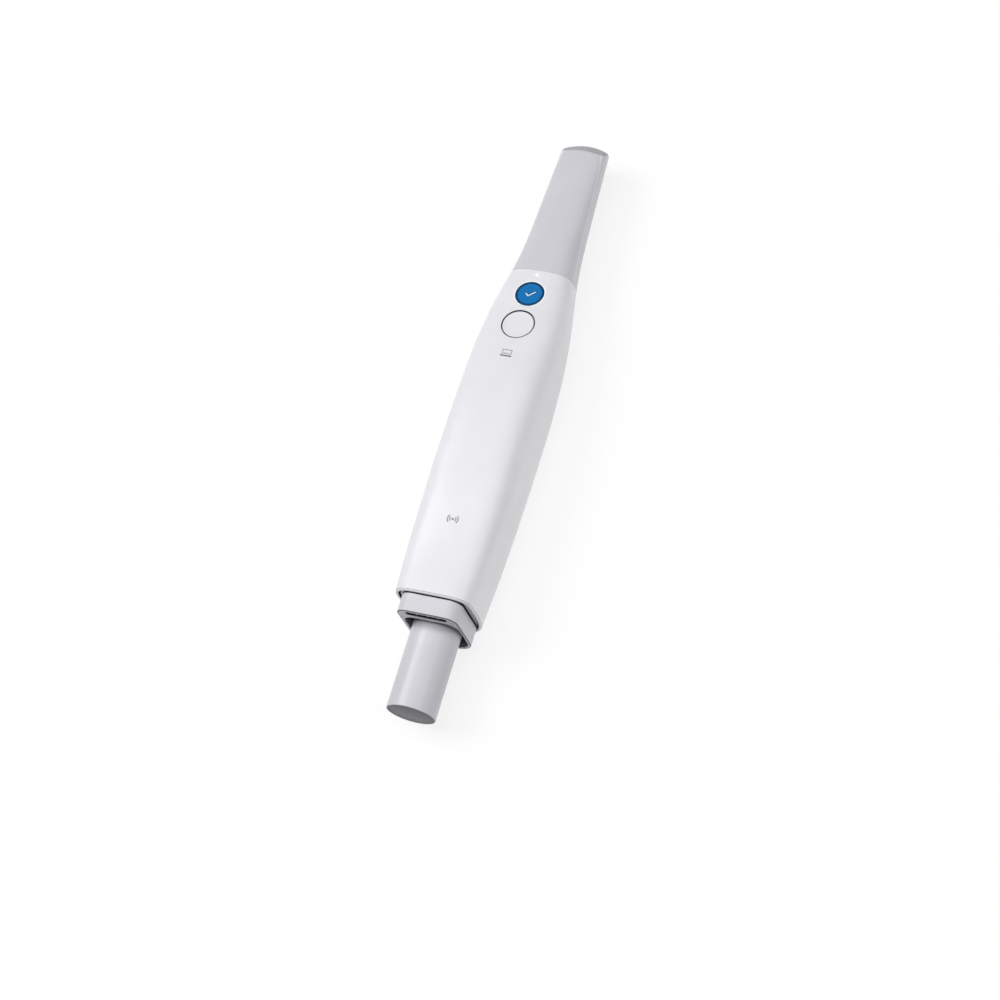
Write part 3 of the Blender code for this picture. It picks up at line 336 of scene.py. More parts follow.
# A dark line round the collar's end: painted shade of a step.
BEZEL_SHADE_LINE = Finish("collar_painted_shade_line", "collar_plastic", (0.09, 0.09, 0.10), 0.5)
# Dark grey for the inside of the battery's opening: painted shade.
BEZEL_DEEP_SHADE = Finish("collar_inside_painted_shade", "collar_plastic", (0.17, 0.17, 0.185), 0.6)
CASE = Finish("battery_case_satin", "battery_case", (0.616, 0.607, 0.653), 0.34, coat=0.15)
# Dark grey for the battery's end disc: painted shade, for an end that faces away from the light.
END_DISC_SHADE = Finish("battery_end_painted_shade", "battery_end", (0.15, 0.15, 0.17), 0.5)
SCAN_CAP = Finish("scan_button_satin", "button_white", (0.842, 0.837, 0.872), 0.34)
# Grey for the scan cap's edge: painted shade next to the gap round it.
CAP_SIDE_SHADE = Finish("scan_button_painted_shade", "button_white", (0.40, 0.40, 0.42), 0.4)
CHECK_CAP = Finish("check_button_blue", "button_blue", (0.010, 0.177, 0.475), 0.4, gloss=0.12)
# Navy for the blue cap's edge band and for the tick's shadow: painted shade.
CHECK_EDGE_SHADE = Finish("check_button_painted_shade", "button_blue", (0.002, 0.06, 0.19), 0.4, gloss=0.1)
INK_WHITE = Finish("symbol_white", "button_white", (0.90, 0.91, 0.93), 0.4)
INK_GREY = Finish("symbol_grey", "collar_plastic", (0.25, 0.25, 0.27), 0.5)
INK_DARK = Finish("symbol_dark", "collar_plastic", (0.06, 0.06, 0.07), 0.5)
LAMP = Finish(
    "status_lens_lit", "status_lens", (0.95, 0.94, 0.90), 0.25, gloss=0.2, pattern=Pattern.LIT
)
GLASS = Finish(
    "coated_glass",
    "window_glass",
    (0.92, 0.96, 0.97),
    0.03,
    relief=0.0,
    mottle=0.0,
    pattern=Pattern.CLEAR,
)
SILVER = Finish(
    "mirror_silver", "mirror_coating", (0.90, 0.90, 0.91), 0.03, metallic=1.0, relief=0.0
)
BLACK = Finish(
    "black_moulding", "black_plastic", (0.022, 0.022, 0.025), 0.55, grain=0.4 * UNIT, relief=0.08
)
BOARD = Finish(
    "green_board", "circuit_board", (0.015, 0.13, 0.06), 0.38, coat=0.4, pattern=Pattern.BOARD
)
ALLOY = Finish(
    "cast_alloy",
    "cast_alloy",
    (0.52, 0.53, 0.55),
    0.45,
    metallic=1.0,
    grain=0.5 * UNIT,
    relief=0.12,
)
STEEL = Finish(
    "plain_steel", "screw_steel", (0.58, 0.58, 0.59), 0.3, metallic=1.0, pattern=Pattern.BRUSHED
)
GOLD = Finish("contact_gold", "contact_gold", (0.80, 0.56, 0.20), 0.24, metallic=1.0)
RUBBER = Finish(
    "seal_rubber", "seal_rubber", (0.045, 0.045, 0.05), 0.8, grain=0.3 * UNIT, relief=0.1
)
WRAP = Finish("cell_wrap_blue", "cell_wrap", (0.08, 0.20, 0.34), 0.4)
CHIP = Finish("chip_black", "black_plastic", (0.03, 0.03, 0.032), 0.45)

KEPT_NODES: dict[Finish, tuple[str, ...]] = {
    SCAN_CAP: ("scan_plunger", "check_plunger"),
    LAMP: ("status_lamp", "projector_lamp"),
    BLACK: (
        "scan_switch", "check_switch", "battery_bay", "contact_block", "chassis", "radio_module",
        "projector_barrel", "camera_lens_left", "camera_lens_right", "fan_housing", "fan_rotor",
    ),
    BOARD: ("keypad_board", "main_board", "light_board"),
    ALLOY: ("optical_bench", "light_heat_sink", "camera_left", "camera_right"),
    STEEL: (
        "collar_screw_1", "collar_screw_2", "board_screw_1", "board_screw_2", "board_screw_3",
        "board_screw_4", "processor_shield", "fan_cover",
    ),
    GOLD: ("contact_blade_1", "contact_blade_2"),
    GLASS: ("projector_lens",),
    SILVER: ("tip_mirror",),
    WRAP: ("battery_cell",),
}


class Shop:
    """The bench tools that make meshes: lofts, turned pieces, plates and cuts."""

    @staticmethod
    def piece(
        name: str, points: Iterable[Sequence[float]], faces: Iterable[Sequence[int]], finish: Finish
    ) -> Piece:
        """Make a smooth-shaded object at the origin from points and faces.

        Args:
            name: The piece's name.
            points: Its corners, in the frame.
            faces: Its faces, as corner numbers.
            finish: Its finish.

        Returns:
            The new object.
        """
        mesh = bpy.data.meshes.new(name)
        mesh.from_pydata([tuple(p) for p in points], [], [tuple(f) for f in faces])
        work = bmesh.new()
        work.from_mesh(mesh)
        bmesh.ops.remove_doubles(work, verts=work.verts, dist=1e-7)
        bmesh.ops.recalc_face_normals(work, faces=work.faces)
        work.to_mesh(mesh)
        work.free()
        mesh.shade_smooth()
        mesh.set_sharp_from_angle(angle=math.radians(SHARP))
        mesh.materials.append(finish.make())
        made = bpy.data.objects.new(name, mesh)
        bpy.context.scene.collection.objects.link(made)
        return made

    @staticmethod
    def loft(name: str, rings: Sequence[np.ndarray], finish: Finish, looped: bool = False) -> Piece:
        """Make a body through rings of as many points each.

        Args:
            name: The piece's name.
            rings: The rings, in order.
            finish: Its finish.
            looped: True joins the last ring to the first; otherwise both ends get a face.

        Returns:
            The new object.
        """
        count = len(rings[0])
        points = np.concatenate(rings)
        faces: list[tuple[int, ...]] = []
        for r in range(len(rings) if looped else len(rings) - 1):
            here, there = r * count, (r + 1) % len(rings) * count
            for k in range(count):
                n = (k + 1) % count
                faces.append((here + k, here + n, there + n, there + k))
        if not looped:
            faces += [tuple(range(count)), tuple(range(len(points) - count, len(points)))]
        return Shop.piece(name, points, faces, finish)

    @staticmethod
    def turned(
        name: str,
        profile: Profile,
        frame: Matrix,
        finish: Finish,
        sides: int = 96,
        looped: bool = False,
    ) -> Piece:
        """Turn a profile of (radius, height) points round a frame's Z axis.

        Args:
            name: The piece's name.
            profile: The profile's points, from one end to the other.
            frame: The frame that it is turned in.
            finish: Its finish.
            sides: Steps round the turn.
            looped: True for a closed profile, which leaves a bore.

        Returns:
            The new object.
        """
        turns = np.arange(sides) * 2 * math.pi / sides
        rings = []
        for radius, height in profile:
            ring = np.stack(
                [
                    radius * np.cos(turns),
                    radius * np.sin(turns),
                    np.full(sides, height),
                    np.ones(sides),
                ]
            )
            rings.append((np.array(frame) @ ring).T[:, :3])
        return Shop.loft(name, rings, finish, looped)

    @staticmethod
    def prism(
        name: str, corners: Profile, frame: Matrix, low: float, high: float, finish: Finish
    ) -> Piece:
        """Raise an outline of a frame's XY plane from low to high along the frame's Z axis.

        Args:
            name: The piece's name.
            corners: The outline in the frame's XY plane.
            frame: The frame that it stands in.
            low: Its lower end.
            high: Its upper end.
            finish: Its finish.

        Returns:
            The new object.
        """
        rings = [
            np.array([tuple(frame @ Vector((x, y, z))) for x, y in corners]) for z in (low, high)
        ]
        return Shop.loft(name, rings, finish)

    @staticmethod
    def flatten(piece: Piece) -> Piece:
        """Apply every modifier of a piece.

        Args:
            piece: The piece.

        Returns:
            The same piece with a plain mesh.
        """
        bpy.context.view_layer.update()
        result = bpy.data.meshes.new_from_object(
            piece.evaluated_get(bpy.context.evaluated_depsgraph_get())
        )
        piece.modifiers.clear()
        piece.data = result
        return piece

    @staticmethod
    def combine(piece: Piece, tools: Iterable[Piece], operation: str = "DIFFERENCE") -> None:
        """Cut a piece with tools, or join them to it, and remove the tools.

        Args:
            piece: The piece.
            tools: The cutters or additions.
            operation: The Boolean's operation.
        """
        tools = list(tools)
        for tool in tools:
            modifier = piece.modifiers.new(tool.name, "BOOLEAN")
            modifier.operation = operation
            modifier.object = tool
        Shop.flatten(piece)
        for tool in tools:
            bpy.data.objects.remove(tool)
        piece.data.shade_smooth()
        piece.data.set_sharp_from_angle(angle=math.radians(SHARP))

    @staticmethod
    def grow(name: str, tree: Tree, values: dict[str, float]) -> Piece:
        """Make a piece from a node tree, with the tree's inputs set on the piece.

        Args:
            name: The piece's name.
            tree: The tree.
            values: The inputs' values, by name.

        Returns:
            The new object with a plain mesh.
        """
        piece = bpy.data.objects.new(name, bpy.data.meshes.new(name))
        bpy.context.scene.collection.objects.link(piece)
        modifier = piece.modifiers.new(name, "NODES")
        modifier.node_group = tree
        for item in tree.interface.items_tree:
            if item.in_out == "INPUT" and item.name in values:
                modifier[item.identifier] = values[item.name]
        return Shop.flatten(piece)

    @staticmethod
    def paint(piece: Piece, finish: Finish, chosen: Callable[[Vector], bool]) -> None:
        """Give some faces of a piece another finish.

        Args:
            piece: The piece.
            finish: The other finish.
            chosen: Tells from a face's middle whether the face gets it.
        """
        mesh = piece.data
        names = [material.name if material else "" for material in mesh.materials]
        if finish.name not in names:
            mesh.materials.append(finish.make())
            names.append(finish.name)
        number = names.index(finish.name)
        for face in mesh.polygons:
            if chosen(face.center):
                face.material_index = number

    @staticmethod
    def finish_piece(piece: Piece, body: Body, slot: str, *nodes: str) -> None:
        """Hand a finished piece to its body and say which solids it stands for.

        Args:
            piece: The piece.
            body: The body that it rides on.
            slot: The record's material slot; not used.
            *nodes: The solids that it replaces.
        """
        if nodes:
            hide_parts(*nodes)
        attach(piece, body.value)
        LOG.info(
            "%s rides on %s and stands for %s",
            piece.name,
            body.value,
            ", ".join(nodes) or "nothing",
        )


def rounded(
    x0: float,
    x1: float,
    y0: float,
    y1: float,
    low: float,
    high: float | None = None,
    steps: int = 10,
) -> Outline:
    """Outline a rectangle with rounded corners.

    Args:
        x0: Its left side.
        x1: Its right side.
        y0: Its lower side.
        y1: Its upper side.
        low: The radius of the lower corners.
        high: The radius of the upper corners, the same as low if not given.
        steps: Steps in each corner.

    Returns:
        The outline's corners.
    """
    high = low if high is None else high
    corners = []
    places = (
        (x1 - high, y1 - high, high),
        (x0 + high, y1 - high, high),
        (x0 + low, y0 + low, low),
        (x1 - low, y0 + low, low),
    )
    for quarter, (x, y, radius) in enumerate(places):
        for k in range(steps + 1):
            turn = (quarter + k / steps) * math.pi / 2
            corners.append((x + radius * math.cos(turn), y + radius * math.sin(turn)))
    return corners


def rectangle(x0: float, x1: float, y0: float, y1: float) -> Outline:
    """Outline a rectangle between two sides and two ends."""
    return [(x0, y0), (x1, y0), (x1, y1), (x0, y1)]


def round_over(radius: float, steps: int) -> Outline:
    """Round an edge off: give each point's distances from its one face and from its other."""
    turns = np.linspace(0, math.pi / 2, steps)
    return [(radius * (1 - math.cos(t)), radius * (1 - math.sin(t))) for t in turns]


def along_axis(place: float, z: float, x: float = 0.0) -> Matrix:
    """Give a frame whose Z axis runs along the scanner, from a place on it."""
    return Matrix.Translation((x, along(place), z)) @ Matrix.Rotation(-math.pi / 2, 4, "X")


def natural_curve(places: Sequence[float], values: Sequence[float]) -> Callable[[float], float]:
    """Fit a smooth curve through values.

    Args:
        places: Where the values are.
        values: The values.

    Returns:
        The curve as a function of the place.
    """
    x, y = np.array(places), np.array(values)
    step = np.diff(x)
    matrix, right = np.eye(len(x)), np.zeros(len(x))
    for i in range(1, len(x) - 1):
        matrix[i, i - 1 : i + 2] = step[i - 1], 2 * (step[i - 1] + step[i]), step[i]
        right[i] = 6 * ((y[i + 1] - y[i]) / step[i] - (y[i] - y[i - 1]) / step[i - 1])
    bend = np.linalg.solve(matrix, right)

    def at(place: float) -> float:
        """Give the curve's value at a place.

        Args:
            place: The place.

        Returns:
            The value.
        """
        i = int(np.clip(np.searchsorted(x, place) - 1, 0, len(step) - 1))
        ahead, behind, h = x[i + 1] - place, place - x[i], step[i]
        cubic = (bend[i] * ahead**3 + bend[i + 1] * behind**3) / (6 * h)
        start, end = y[i] / h - bend[i] * h / 6, y[i + 1] / h - bend[i + 1] * h / 6
        return float(cubic + start * ahead + end * behind)

    return at


@dataclass
class Form:
    """The scanner's outer form: a table of sections from the rim to the tip's end.

    Attributes:
        half_width: Half the grip's width.
        height: The grip's height.
        rim: Where the grip ends at the collar.
        seam: Where the grip meets the tip.
        end: The end of the tip.
        length: The length that the table covers, from the rim on.
        table: Rows of length share, width share, top share, belly share, crown, keel and waist.
        last_share: The last length share at which a section can be asked for.
        curves: The curves through the table's columns.
    """

    half_width: float = 22.2 * UNIT
    height: float = 47.4 * UNIT
    rim: float = 52.3 * UNIT
    seam: float = 235.0 * UNIT
    end: float = 317.4 * UNIT
    length: float = 260.7 * UNIT
    table: tuple[tuple[float, ...], ...] = (
        (0.000, 0.890, 0.994, 0.000, 4.0, 3.1, 0.66),
        (0.087, 0.947, 0.982, -0.007, 4.0, 3.2, 0.64),
        (0.183, 0.981, 0.989, -0.007, 4.0, 3.4, 0.60),
        (0.279, 0.999, 0.997, -0.007, 4.0, 3.5, 0.57),
        (0.375, 0.998, 1.000, -0.006, 3.9, 3.6, 0.53),
        (0.471, 0.997, 0.967, 0.030, 3.7, 3.6, 0.52),
        (0.547, 0.983, 0.908, 0.118, 3.4, 3.5, 0.51),
        (0.605, 0.932, 0.857, 0.195, 3.2, 3.4, 0.50),
        (0.662, 0.835, 0.809, 0.244, 3.1, 3.3, 0.50),
        (0.720, 0.723, 0.765, 0.258, 2.9, 3.3, 0.49),
        (0.797, 0.641, 0.712, 0.249, 2.9, 3.1, 0.54),
        (0.893, 0.591, 0.662, 0.245, 2.9, 2.8, 0.60),
        (1.000, 0.546, 0.594, 0.266, 3.0, 2.6, 0.66),
    )
    last_share: float = 1.03
    curves: list[Callable[[float], float]] = field(default_factory=list)

    def __post_init__(self) -> None:
        """Fit the curves through the table's columns."""
        shares, *columns = zip(*self.table)
        self.curves = [natural_curve(shares, column) for column in columns]

    def section(self, place: float) -> tuple[float, float, float, float, float, float]:
        """Give the section at a place.

        Args:
            place: Distance from the battery's end face.

        Returns:
            Half width, top, belly, crown, keel and waist height.
        """
        share = min(max((place - self.rim) / self.length, 0), self.last_share)
        width, top, belly, crown, keel, waist = (curve(share) for curve in self.curves)
        top, belly = top * self.height, belly * self.height
        return width * self.half_width, top, belly, crown, keel, belly + waist * (top - belly)

    def points(self, place: float, turns: np.ndarray, inset: float) -> np.ndarray:
        """Give points of the skin at the given turns round its widest line.

        Args:
            place: Distance from the battery's end face.
            turns: Angles.
            inset: How far the skin is set in.

        Returns:
            An array of points in the frame.
        """
        half, top, belly, crown, keel, middle = self.section(place)
        c, s = np.cos(turns), np.sin(turns)
        power = np.where(s > 0, 2 / crown, 2 / keel)
        height = np.where(s > 0, top - middle, middle - belly) - inset
        x = (half - inset) * np.sign(c) * np.abs(c) ** power
        z = middle + height * np.sign(s) * np.abs(s) ** power
        return np.stack([x, np.full(len(turns), along(place)), np.maximum(z, inset)], axis=1)

    def turns(self, place: float, inset: float, count: int) -> np.ndarray:
        """Give turns that space the points of a section evenly.

        Args:
            place: Distance from the battery's end face.
            inset: How far the skin is set in.
            count: How many turns.

        Returns:
            The angles.
        """
        fine = np.linspace(0, 2 * math.pi, FINE_STEPS + 1)
        ring = self.points(place, fine, inset)
        steps = np.concatenate([[0], np.cumsum(np.linalg.norm(np.diff(ring, axis=0), axis=1))])
        return np.interp(np.arange(count) / count * steps[-1], steps, fine)

    def ring(self, place: float, inset: float, count: int = 168) -> np.ndarray:
        """Give an evenly spaced ring of the skin."""
        return self.points(place, self.turns(place, inset, count), inset)

    def top_frame(self, place: float, reach: float = 9.4 * UNIT) -> Matrix:
        """Give a frame on the top line: Z out of the skin, Y towards the tip.

        Args:
            place: Distance from the battery's end face.
            reach: How far to each side the slope is measured.

        Returns:
            The frame.
        """
        behind, ahead = self.section(place - reach)[1], self.section(place + reach)[1]
        slope = math.atan2(ahead - behind, 2 * reach)
        return Matrix.Translation((0, along(place), self.section(place)[1])) @ Matrix.Rotation(
            slope, 4, "X"
        )


@dataclass
class BodyShell:
    """The white grip, moulded in one piece, with its rim and the holes for the buttons.

    Attributes:
        form: The scanner's outer form.
        wall: The wall's thickness.
        lip: Radius of the rim's outer edge.
        inner_lip: Radius of the rim's inner edge.
        seam_edge: Radius of the edge at the seam.
        rim_shade_line: Where the fine dark line beside the rim starts and ends, from the rim; the
            line is painted shade standing in for a groove.
        scan: Place of the scan button.
        check: Place of the check button.
        light: Place of the status light.
        scan_hole: Radius of the scan button's hole.
        check_hole: Radius of the check button's hole.
        light_hole: Radius of the status light's hole.
    """

    form: Form
    wall: float = 1.5 * UNIT
    lip: float = 0.6 * UNIT
    inner_lip: float = 0.45 * UNIT
    seam_edge: float = 0.22 * UNIT
    rim_shade_line: tuple[float, float] = (0.65 * UNIT, 0.95 * UNIT)
    scan: float = 201.7 * UNIT
    check: float = 220.6 * UNIT
    light: float = 232.3 * UNIT
    scan_hole: float = 8.6 * UNIT
    check_hole: float = 7.4 * UNIT
    light_hole: float = 0.8 * UNIT

    def key_frame(self, place: float) -> Matrix:
        """Give the frame of a button: both are pressed in the same direction.

        Args:
            place: Distance from the battery's end face.

        Returns:
            The frame, with Z out of the skin and Y towards the tip.
        """
        behind, ahead = self.form.section(self.scan)[1], self.form.section(self.check)[1]
        slope = math.atan2(ahead - behind, self.check - self.scan)
        return Matrix.Translation((0, along(place), self.form.section(place)[1])) @ Matrix.Rotation(
            slope, 4, "X"
        )

    def hole(self, name: str, place: float, radius: float, flare: float, depth: float) -> Piece:
        """Make the cutter of a round hole with a rounded mouth.

        Args:
            name: The hole's name.
            place: Its place.
            radius: Its radius.
            flare: How much wider its mouth is.
            depth: How deep the mouth's rounding reaches.

        Returns:
            The cutter.
        """
        reach, wide = 4 * UNIT, radius + flare
        profile = [(0, -reach), (radius, -reach), (radius, -depth)]
        for turn in np.linspace(0.2, 1.5, 6):
            profile.append((radius + flare * (1 - math.cos(turn)), depth * (math.sin(turn) - 1)))
        profile += [(wide, 0.8 * UNIT), (wide, reach), (0, reach)]
        sides = 144 if radius > 2 * UNIT else 40
        return Shop.turned(f"{name}_hole", profile, self.key_frame(place), HOUSING, sides)

    def paint_hole(self, shell: Piece, place: float, radius: float, flare: float) -> None:
        """Paint shade into a button's hole as black, and paint a highlight on the bevel round a
        wide mouth as near white.

        Args:
            shell: The shell.
            place: The hole's place.
            radius: Its radius.
            flare: How much wider its mouth is.
        """
        back, near = self.key_frame(place).inverted(), radius + 0.01 * UNIT

        def off(at: Vector) -> float:
            """Give a point's distance from the hole's axis."""
            return math.hypot(*(back @ at).xy)

        def bevelled(at: Vector) -> bool:
            """Tell whether a point lies on the bevel."""
            return near < off(at) < radius + flare and (back @ at).z > -UNIT

        # Painted shade: the wall inside a wide hole is black, so that the gap round its cap reads
        # dark.
        if radius > 2 * UNIT:
            Shop.paint(shell, BLACK, lambda at: off(at) < near and (back @ at).z > -3 * UNIT)
        # Painted highlight: the bevel round a wide mouth is near white.
        if flare > 0.3 * UNIT:
            Shop.paint(shell, BEVEL, bevelled)

    def inside(self, at: Vector, depth: float) -> bool:
        """Tell whether a point lies at least this deep under the skin, give or take a little.

        Args:
            at: The point.
            depth: How deep.

        Returns:
            True if it does.
        """
        half, top, belly, crown, keel, middle = self.form.section(at.y + LENGTH / 2)
        power, reach = (crown, top - middle) if at.z > middle else (keel, middle - belly)
        across, up = abs(at.x) / (half - depth), abs(at.z - middle) / (reach - depth)
        leeway = 1.004
        return across**power + up**power < leeway

    def build(self) -> None:
        """Build the shell: its outside from the rim to the seam, and its inside back again."""
        form, wall = self.form, self.wall
        rings = [form.ring(form.rim + y, inset) for y, inset in round_over(self.lip, 7)]
        rings += [form.ring(form.rim + y, 0) for y in self.rim_shade_line]
        outside = np.linspace(form.rim + 1.6 * UNIT, form.seam - 1.2 * UNIT, 150)
        rings += [form.ring(place, 0) for place in outside]
        rings += [form.ring(form.seam - y, inset) for inset, y in round_over(self.seam_edge, 5)]
        inside = np.linspace(form.seam, form.rim + 0.5 * UNIT, 60)
        rings += [form.ring(place, wall) for place in inside]
        for inset, y in round_over(self.inner_lip, 5)[1:]:
            rings.append(form.ring(form.rim + y, wall - inset))
        shell = Shop.loft("grip_shell", rings, HOUSING, looped=True)
        low, high = (along(form.rim + y) for y in self.rim_shade_line)
        # Painted shade: a fine dark line beside the rim, where a groove's shade would fall.
        Shop.paint(shell, RIM_SHADE_LINE, lambda at: low < at.y < high)
        holes = (
            ("scan", self.scan, self.scan_hole, 0.15 * UNIT, 0.18 * UNIT),
            ("check", self.check, self.check_hole, 0.65 * UNIT, 0.4 * UNIT),
            ("light", self.light, self.light_hole, 0.40 * UNIT, 0.12 * UNIT),
        )
        Shop.combine(shell, [self.hole(*hole) for hole in holes])
        for _, place, radius, flare, _ in holes:
            self.paint_hole(shell, place, radius, flare)
        # Painted shade: the inside of the white shell near the rim is black, so the gap round the
        # collar reads dark.
        depth, end = wall - 0.05 * UNIT, along(form.rim + 9 * UNIT)
        Shop.paint(shell, BLACK, lambda at: at.y < end and self.inside(at, depth))
        Shop.finish_piece(shell, Body.HANDLE, "white_housing", "body_shell")


@dataclass
class ScanTip:
    """The light grey tip sleeve with its slanted mirror seat and its window.

    Attributes:
        form: The scanner's outer form.
        wall: The wall's thickness.
        gap: The gap at the seam.
        back_edge: Radius of the edge at the seam.
        end_edge: Radius of the edge round the end face.
        slant_z: Height over which the end face slants like the mirror.
        slant_blend: How softly the slant begins.
        bow_radius: Radius of the end face's bow, seen from above.
        cap_z: Height of the middle of the end face.
        seat_setback: How far the mirror's seat lies behind the end wall.
        window_length: Length of the window in the belly.
        window_half_width: Half its width.
    """

    form: Form
    wall: float = 1.6 * UNIT
    gap: float = 0.3 * UNIT
    back_edge: float = 0.4 * UNIT
    end_edge: float = 0.9 * UNIT
    slant_z: float = 22.4 * UNIT
    slant_blend: float = 1.0 * UNIT
    bow_radius: float = 26.0 * UNIT
    cap_z: float = 18.5 * UNIT
    seat_setback: float = 2.6 * UNIT
    window_length: float = 13.0 * UNIT
    window_half_width: float = 6.4 * UNIT

    def seat_place(self, z: float) -> float:
        """Give the place of the mirror seat's plane at height z."""
        floor = self.form.section(self.form.end)[2] + self.wall
        return self.form.end - self.wall - self.seat_setback - (z - floor)

    def seat_ring(self, count: int) -> np.ndarray:
        """Give the bore's outline, cut along the seat's plane.

        Args:
            count: How many points.

        Returns:
            The ring.
        """
        turns = self.form.turns(self.form.end - 8 * UNIT, self.wall, count)
        ring = []
        for turn in turns:
            point = self.form.points(self.form.end, np.array([turn]), self.wall)[0]
            for _ in range(6):
                point = self.form.points(self.seat_place(point[2]), np.array([turn]), self.wall)[0]
            ring.append((point[0], along(self.seat_place(point[2])), point[2]))
        return np.array(ring)

    def end_place(self, x: np.ndarray, z: np.ndarray) -> np.ndarray:
        """Give the place of the end face: upright below, slanted above, and bowed across.

        Args:
            x: Distances from the middle.
            z: Heights.

        Returns:
            The places.
        """
        over = z - self.slant_z
        slant = (over + np.sqrt(over**2 + self.slant_blend**2)) / 2
        return self.form.end - slant - x**2 / (2 * self.bow_radius)

    def skin(self, places: np.ndarray, turns: np.ndarray, inset: float) -> np.ndarray:
        """Give one point of the skin for each place and turn.

        Args:
            places: Distances from the battery's end face.
            turns: Angles.
            inset: How far the skin is set in.

        Returns:
            An array of points in the frame.
        """
        return np.array(
            [
                self.form.points(place, np.array([turn]), inset)[0]
                for place, turn in zip(places, turns)
            ]
        )

    def end_rings(self, start: float, turns: np.ndarray) -> list[np.ndarray]:
        """Give the rings that lead from a place to the end face, round its edge and over the face.

        Args:
            start: The place.
            turns: The turns of each ring's points.

        Returns:
            The rings.
        """
        rings = []
        for inset, back in round_over(self.end_edge, 8):
            places = np.full(len(turns), start)
            for _ in range(4):
                ring = self.skin(places, turns, inset)
                places = self.end_place(ring[:, 0], ring[:, 2]) - back
            if not rings:
                rings += [
                    self.skin(start + share * (places - start), turns, 0)
                    for share in np.linspace(0, 1, 8)[1:-1]
                ]
            rings.append(self.skin(places, turns, inset))
        rim = rings[-1]
        for share in np.linspace(1, 0.04, 14)[1:]:
            x, z = share * rim[:, 0], self.cap_z + share * (rim[:, 2] - self.cap_z)
            rings.append(np.stack([x, along(self.end_place(x, z)), z], axis=1))
        return rings

    def window_cutter(self) -> Piece:
        """Make the cutter of the window in the belly.

        Returns:
            The cutter.
        """
        floor, over = self.form.section(self.form.end)[2] + self.wall, 0.4 * UNIT
        front, half = self.seat_place(floor + over) - 0.2 * UNIT, self.window_half_width
        back = along(front - self.window_length)
        corners = rounded(-half, half, back, along(front), 2.4 * UNIT)
        return Shop.prism("window_cut", corners, Matrix(), floor - 6 * UNIT, floor + over, SLEEVE)

    def build(self) -> None:
        """Build the tip, and the ring that fills its gap at the seam."""
        form, start = self.form, self.form.seam + self.gap
        outer = [form.ring(start + y, inset) for y, inset in round_over(self.back_edge, 5)]
        bend = form.end - 10.5 * UNIT
        middle = np.linspace(start + self.back_edge + 0.6 * UNIT, bend, 90)
        outer += [form.ring(place, 0) for place in middle]
        outer += self.end_rings(bend, form.turns(bend, 0, len(outer[0])))
        seat = self.seat_ring(len(outer[0]))
        stop = seat[:, 1].min() + LENGTH / 2 - 4 * UNIT
        inner = [form.ring(place, self.wall) for place in np.linspace(start, stop, 30)]
        tip = Shop.loft("tip_sleeve", outer[::-1] + inner + [seat], SLEEVE)
        Shop.combine(tip, [self.window_cutter()])
        # Painted shade: the end face and its rounded edge are a darker grey.
        Shop.paint(tip, SLEEVE_END_SHADE, self.on_end)
        Shop.finish_piece(tip, Body.TIP, "tip_plastic", "scan_tip")
        section = rectangle(0.02 * UNIT, 0.26 * UNIT, 0.3 * UNIT, 1.7 * UNIT)
        joint = [form.ring(form.seam + y, inset) for y, inset in section]
        ring = Shop.loft("seam_ring", joint, SLEEVE, looped=True)
        Shop.finish_piece(ring, Body.HANDLE, "tip_plastic")

    def on_end(self, at: Vector) -> bool:
        """Tell whether a point lies on the end face or its edge."""
        return at.y > along(float(self.end_place(at.x, at.z)) - 0.55 * self.end_edge)


